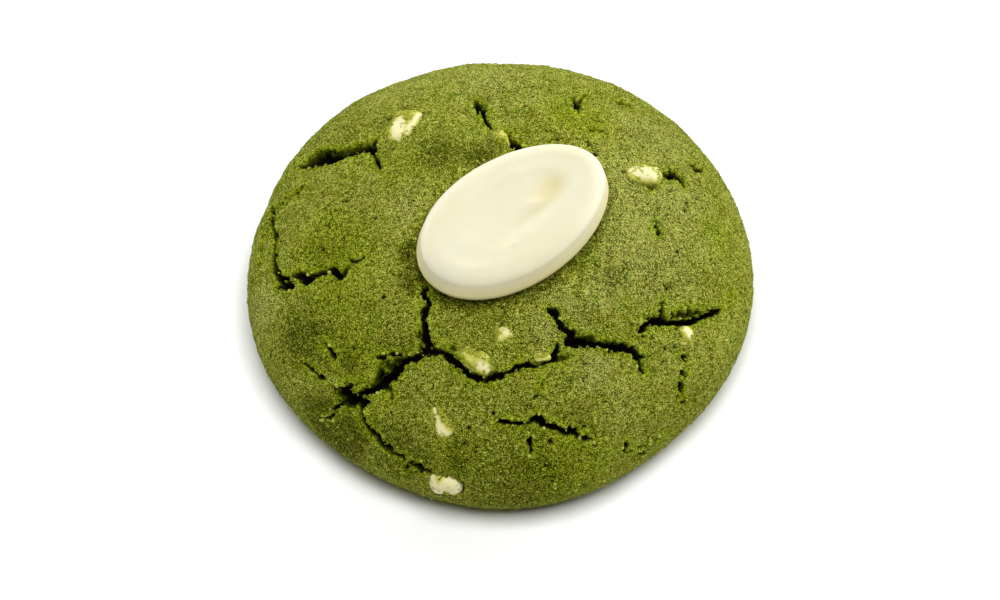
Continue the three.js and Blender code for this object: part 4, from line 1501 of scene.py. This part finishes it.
def shaded_gap_marks(make, patch):
    """Thin borders of large shaken cells, kept only where a noise is high: painted shadow in gaps."""
    lines = make.borders(MARK_CELL, make.shaken(*MARK_SHAKE)).falling(0.0, MARK_WIDTH)
    return lines * (make.noise(0.6, 1.0) + 0.3 * (patch - 0.5)).rising(*MARK_MASK)


def crust_tone(make, noises, fields, marks, shaken):
    """Low for dark grains and for painted shade in seams, marks and shade fields; high for pale
    grains.
    """
    fine, small, patch, broad = noises
    dust_and_light, shade = fields["dust_and_light"], fields["shade"]
    seam = make.borders(GRAIN_CELL, shaken).falling(0.0, SEAM_WIDTH)
    sand = (SAND + SAND_IN_DUST_AND_LIGHT * dust_and_light + SAND_IN_PAINTED_SHADE * shade) * (fine - 0.5)
    cloudy = 0.4 * (small - 0.5) + 0.4 * (patch - 0.5) + 0.25 * (broad - 0.5)
    grains = 0.4 * (make.lottery(GRAIN_CELL, shaken) - 0.5)
    return TONE_MIDDLE + sand + grains + cloudy - 0.4 * seam - 0.4 * marks - 0.2 * shade


# %% [markdown]
# Over a chunk the dough is only a film, and the white lets it shine yellow. Round a bare spot
# the film thins out to a pale ring. The walls of a tear are painted dark within half a millimetre,
# a moist green and painted shade, and its floor is painted nearly black as shadow, because hardly
# any light gets there. A painted shadow line also runs in patches along each edge.

# %% Film over the chunks and walls of the tears
CRUST_FILM = paint(160, 164, 22)
CRUST_FILM_PALE = paint(188, 190, 76)
FILM_MASK = (0.6, 0.95)
RING_SHARE = 0.6
RING_MASK = (-0.1, 0.9)
VEIL_MASK = (0.2, 0.7)
# Painted shade in the tears: dark moist green on the walls, shadow black on the floor and edges.
WALL_GREEN_AND_SHADE = paint(54, 62, 4)
WALL_PAINTED_SHADOW = paint(10, 9, 3)
WALL_MASK, FLOOR_MASK = (0.1, 0.6), (0.65, 1.2)
EDGE_SHADOW_MASK = (-0.15, 0.03)
EDGE_SHADOW_PATCH_MASK = (0.38, 0.56)
EDGE_SHADOW_LEAST, EDGE_SHADOW_MORE = 0.45, 0.45


def with_film(make, colour, fine, small, veiled):
    """Film over the chunks, and a ring of it round their bare spots."""
    film = (fine + 0.5 * small).rising(*FILM_MASK).mix(CRUST_FILM, CRUST_FILM_PALE)
    ring = RING_SHARE * (make.layer("bare") + 0.6 * (small - 0.5)).falling(*RING_MASK)
    return ring.mix(veiled.mix(colour, film), film)


def with_walls(make, colour, fine, small, patch):
    """Painted shade by depth, green walls and a black floor, and a painted shadow line in patches
    along each edge.
    """
    hidden = make.layer("depth") + 0.3 * (small - 0.5) + 1.0 * (fine - 0.5)
    colour = hidden.rising(*WALL_MASK).mix(colour, WALL_GREEN_AND_SHADE)
    colour = hidden.rising(*FLOOR_MASK).mix(colour, WALL_PAINTED_SHADOW)
    # A painted shadow line along the edge of each tear.
    torn = (make.layer("tear") + 0.2 * (fine - 0.5)).falling(*EDGE_SHADOW_MASK)
    torn = torn * (EDGE_SHADOW_LEAST + EDGE_SHADOW_MORE * patch.rising(*EDGE_SHADOW_PATCH_MASK))
    return torn.mix(colour, WALL_PAINTED_SHADOW)


# %% [markdown]
# The tone then darkens and lightens the ground colour. The lights are a dusty cream green on
# plain crust and a fresher green where it is moist. The surface is almost without gloss, since
# the grain scatters all light, and a bump too fine for the mesh lets each grain catch it.

# %% Crust material
CRUST_DARK = paint(34, 40, 0)
CRUST_LIGHT = paint(206, 211, 104)
CRUST_MOIST_LIGHT = paint(196, 210, 60)
DARK_MASK, LIGHT_MASK = (-0.1, 0.5), (0.5, 1.15)
MOIST_SHARE = 0.8
CRUST_NOISES = ((0.13, 1.0), (0.5, 2.0), (2.0, 3.0), (8.0, 2.0))
GRAIN_WIDTH = 0.8
GRAIN_RELIEF = 0.26


def crust_material():
    """Ground, film, darks and lights of the grain, then the painted shade of the tears. The noises,
    each with a size and a detail, go from single grains to patches a centimetre wide."""
    make = Finish("baked_matcha")
    noises = [make.noise(size, detail) for size, detail in CRUST_NOISES]
    fine, small, patch, broad = noises
    fields = crust_fields(make, patch, broad)
    near_lip, marks = lip_mask(make, patch), shaded_gap_marks(make, patch)
    shaken = make.shaken(*GRAIN_SHAKE)
    veiled = (make.layer("veil") + 0.4 * (small - 0.5)).rising(*VEIL_MASK)
    plain = 1 - 0.5 * veiled

    tone = crust_tone(make, noises, fields, marks, shaken)
    moist = MOIST_SHARE * fields["deep"]
    light = near_lip.mix(moist.mix(CRUST_LIGHT, CRUST_MOIST_LIGHT), CRUST_MOIST_LIGHT)
    colour = with_film(make, crust_ground(make, fields, near_lip), fine, small, veiled)
    colour = (plain * tone.falling(*DARK_MASK)).mix(colour, CRUST_DARK)
    colour = (plain * tone.rising(*LIGHT_MASK)).mix(colour, light)
    colour = with_walls(make, colour, fine, small, patch)
    grains = make.cells(GRAIN_CELL, shaken).falling(0.0, GRAIN_WIDTH)
    relief = 0.5 * grains + 0.8 * fine + 0.4 * small - 0.4 * marks
    return make.surface(Base_Color=colour, Roughness=0.95, Specular_IOR_Level=0.03,
                        Normal=make.bump(relief, GRAIN_RELIEF))


# %% [markdown]
# ## White chocolate
#
# Set white chocolate is a warm cream with a soft sheen. Light goes a little way into it, so its
# shaded wall stays warm. Its dimple is a shade browner. Low on its wall it is painted yellower,
# painted shade and green bounce light from the dough.

# %% Cream of the disc
CREAM = paint(223, 219, 193)
CREAM_DEEP = paint(220, 215, 184)
CREAM_HOLLOW = paint(218, 208, 162)
# Painted shade and green bounce light, low on the wall.
CREAM_PAINTED_SHADE_AND_BOUNCE = paint(219, 209, 152)
CLOUD_MASK, HOLLOW_MASK, PAINTED_BOUNCE_MASK = (0.35, 0.7), (0.02, 0.36), (1.0, 4.3)
CREAM_GLOW = (1.0, 0.9, 0.55)


def cream_material():
    """Cream in two faint clouds, browner in the hollow, painted shade and bounce low on the wall."""
    make = Finish("white_chocolate")
    cloud = make.noise(9.0, 3.0, 0.55)
    colour = cloud.rising(*CLOUD_MASK).mix(CREAM, CREAM_DEEP)
    hollow = make.layer("hollow") + 0.1 * (cloud - 0.5)
    colour = hollow.rising(*HOLLOW_MASK).mix(colour, CREAM_HOLLOW)
    colour = make.layer("height").falling(*PAINTED_BOUNCE_MASK).mix(colour, CREAM_PAINTED_SHADE_AND_BOUNCE)
    sheen = 0.45 + 0.14 * make.noise(1.2, 3.0)
    relief = 0.7 * make.noise(3.0, 2.0) + 0.3 * make.noise(0.4, 2.0)
    return make.surface(Base_Color=colour, Roughness=sheen, Specular_IOR_Level=0.25,
                        Subsurface_Weight=0.5, Subsurface_Scale=1.5 * MM,
                        Subsurface_Radius=CREAM_GLOW, Normal=make.bump(relief, 0.03))


# %% [markdown]
# The chunks are the same chocolate, but they were mixed into the dough. Most of each is under a
# thin yellow green film. Only the bare spots are cream, with a yellow border and green specks.

# %% Dusted cream of the chunks
FILM_GREEN = paint(138, 146, 18)
FILM_PALE = paint(200, 200, 96)
CHUNK_YELLOW = paint(200, 196, 98)
CHUNK_CREAM = paint(227, 220, 168)
CHUNK_FILM_MASK = (0.66, 0.86)
YELLOW_MASK, CREAM_MASK = (-0.1, 0.5), (-0.3, 0.12)
SPECK_MASK = (0.57, 0.66)
SPECK_SHARE = 0.75


def chunk_material():
    """Film, then yellow and cream by the distance to a bare spot, then specks."""
    make = Finish("dusted_chocolate")
    fine, small = make.noise(0.3, 2.0), make.noise(1.0, 3.0)
    bare = make.layer("bare") + 0.7 * (small - 0.5) + 0.3 * (fine - 0.5)
    film = (fine + 0.5 * small).rising(*CHUNK_FILM_MASK).mix(FILM_GREEN, FILM_PALE)
    colour = bare.falling(*YELLOW_MASK).mix(film, CHUNK_YELLOW)
    colour = bare.falling(*CREAM_MASK).mix(colour, CHUNK_CREAM)
    specks = make.noise(0.8, 3.0).rising(*SPECK_MASK)
    colour = (SPECK_SHARE * specks).mix(colour, FILM_GREEN)
    relief = 0.6 * fine + 0.6 * small
    return make.surface(Base_Color=colour, Roughness=0.6, Specular_IOR_Level=0.2,
                        Subsurface_Weight=0.3, Subsurface_Scale=0.6 * MM,
                        Subsurface_Radius=CREAM_GLOW, Normal=make.bump(relief, 0.1))


# %% [markdown]
# ## Crumbs and floor
#
# Crumbs are torn dough, each with a tone of its own. Inside a tear they take its painted shade,
# the dark green of its walls. The floor is plain white.

# %% Crumb and floor materials
CRUMB_DARK = paint(92, 100, 8)
CRUMB_LIGHT = paint(176, 184, 72)
CRUMB_MASK, CRUMB_DEPTH_MASK = (0.15, 1.0), (0.1, 0.7)


def crumb_material():
    """Dark to light by each crumb's own tone, then painted shade by depth, the green of the walls."""
    make = Finish("torn_crumb")
    tone = make.layer("tone") + 0.5 * (make.noise(0.2, 1.0) - 0.5)
    colour = tone.rising(*CRUMB_MASK).mix(CRUMB_DARK, CRUMB_LIGHT)
    colour = make.layer("depth").rising(*CRUMB_DEPTH_MASK).mix(colour, WALL_GREEN_AND_SHADE)
    return make.surface(Base_Color=colour, Roughness=0.85, Specular_IOR_Level=0.3,
                        Normal=make.bump(make.noise(0.12, 1.0), 0.05))


def floor_material():
    """White with a change too faint to see."""
    make = Finish("white_sweep")
    shade = make.noise(400.0, 1.0).mix(paint(250, 250, 250), paint(248, 248, 248))
    return make.surface(Base_Color=shade, Roughness=0.9, Specular_IOR_Level=0.1)


# %% [markdown]
# ## Handing over
#
# Each piece gets its finish, rides on the cookie's one body and stands for the plain solid that
# it covers. The crumbs are extra and stand for nothing.

# %% Finish, ride and replace
def hand_over(piece, material, slot, *solids):
    """Gives a piece its material and its body, and names the solids it replaces. The slot is not
    used.
    """
    piece.data.materials.append(material)
    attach(piece, "root")
    if solids:
        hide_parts(*solids)


floor.data.materials.append(floor_material())
hand_over(dough, crust_material(), "dough", "dough")
hand_over(crumbs, crumb_material(), "dough")
hand_over(disc, cream_material(), "white_chocolate", "chocolate_disc")
dusted = chunk_material()
for name, lump in lumps.items():
    hand_over(lump, dusted, "chocolate_chunk", "chunk_" + name)
print("finishes:", sorted(material.name for material in bpy.data.materials))
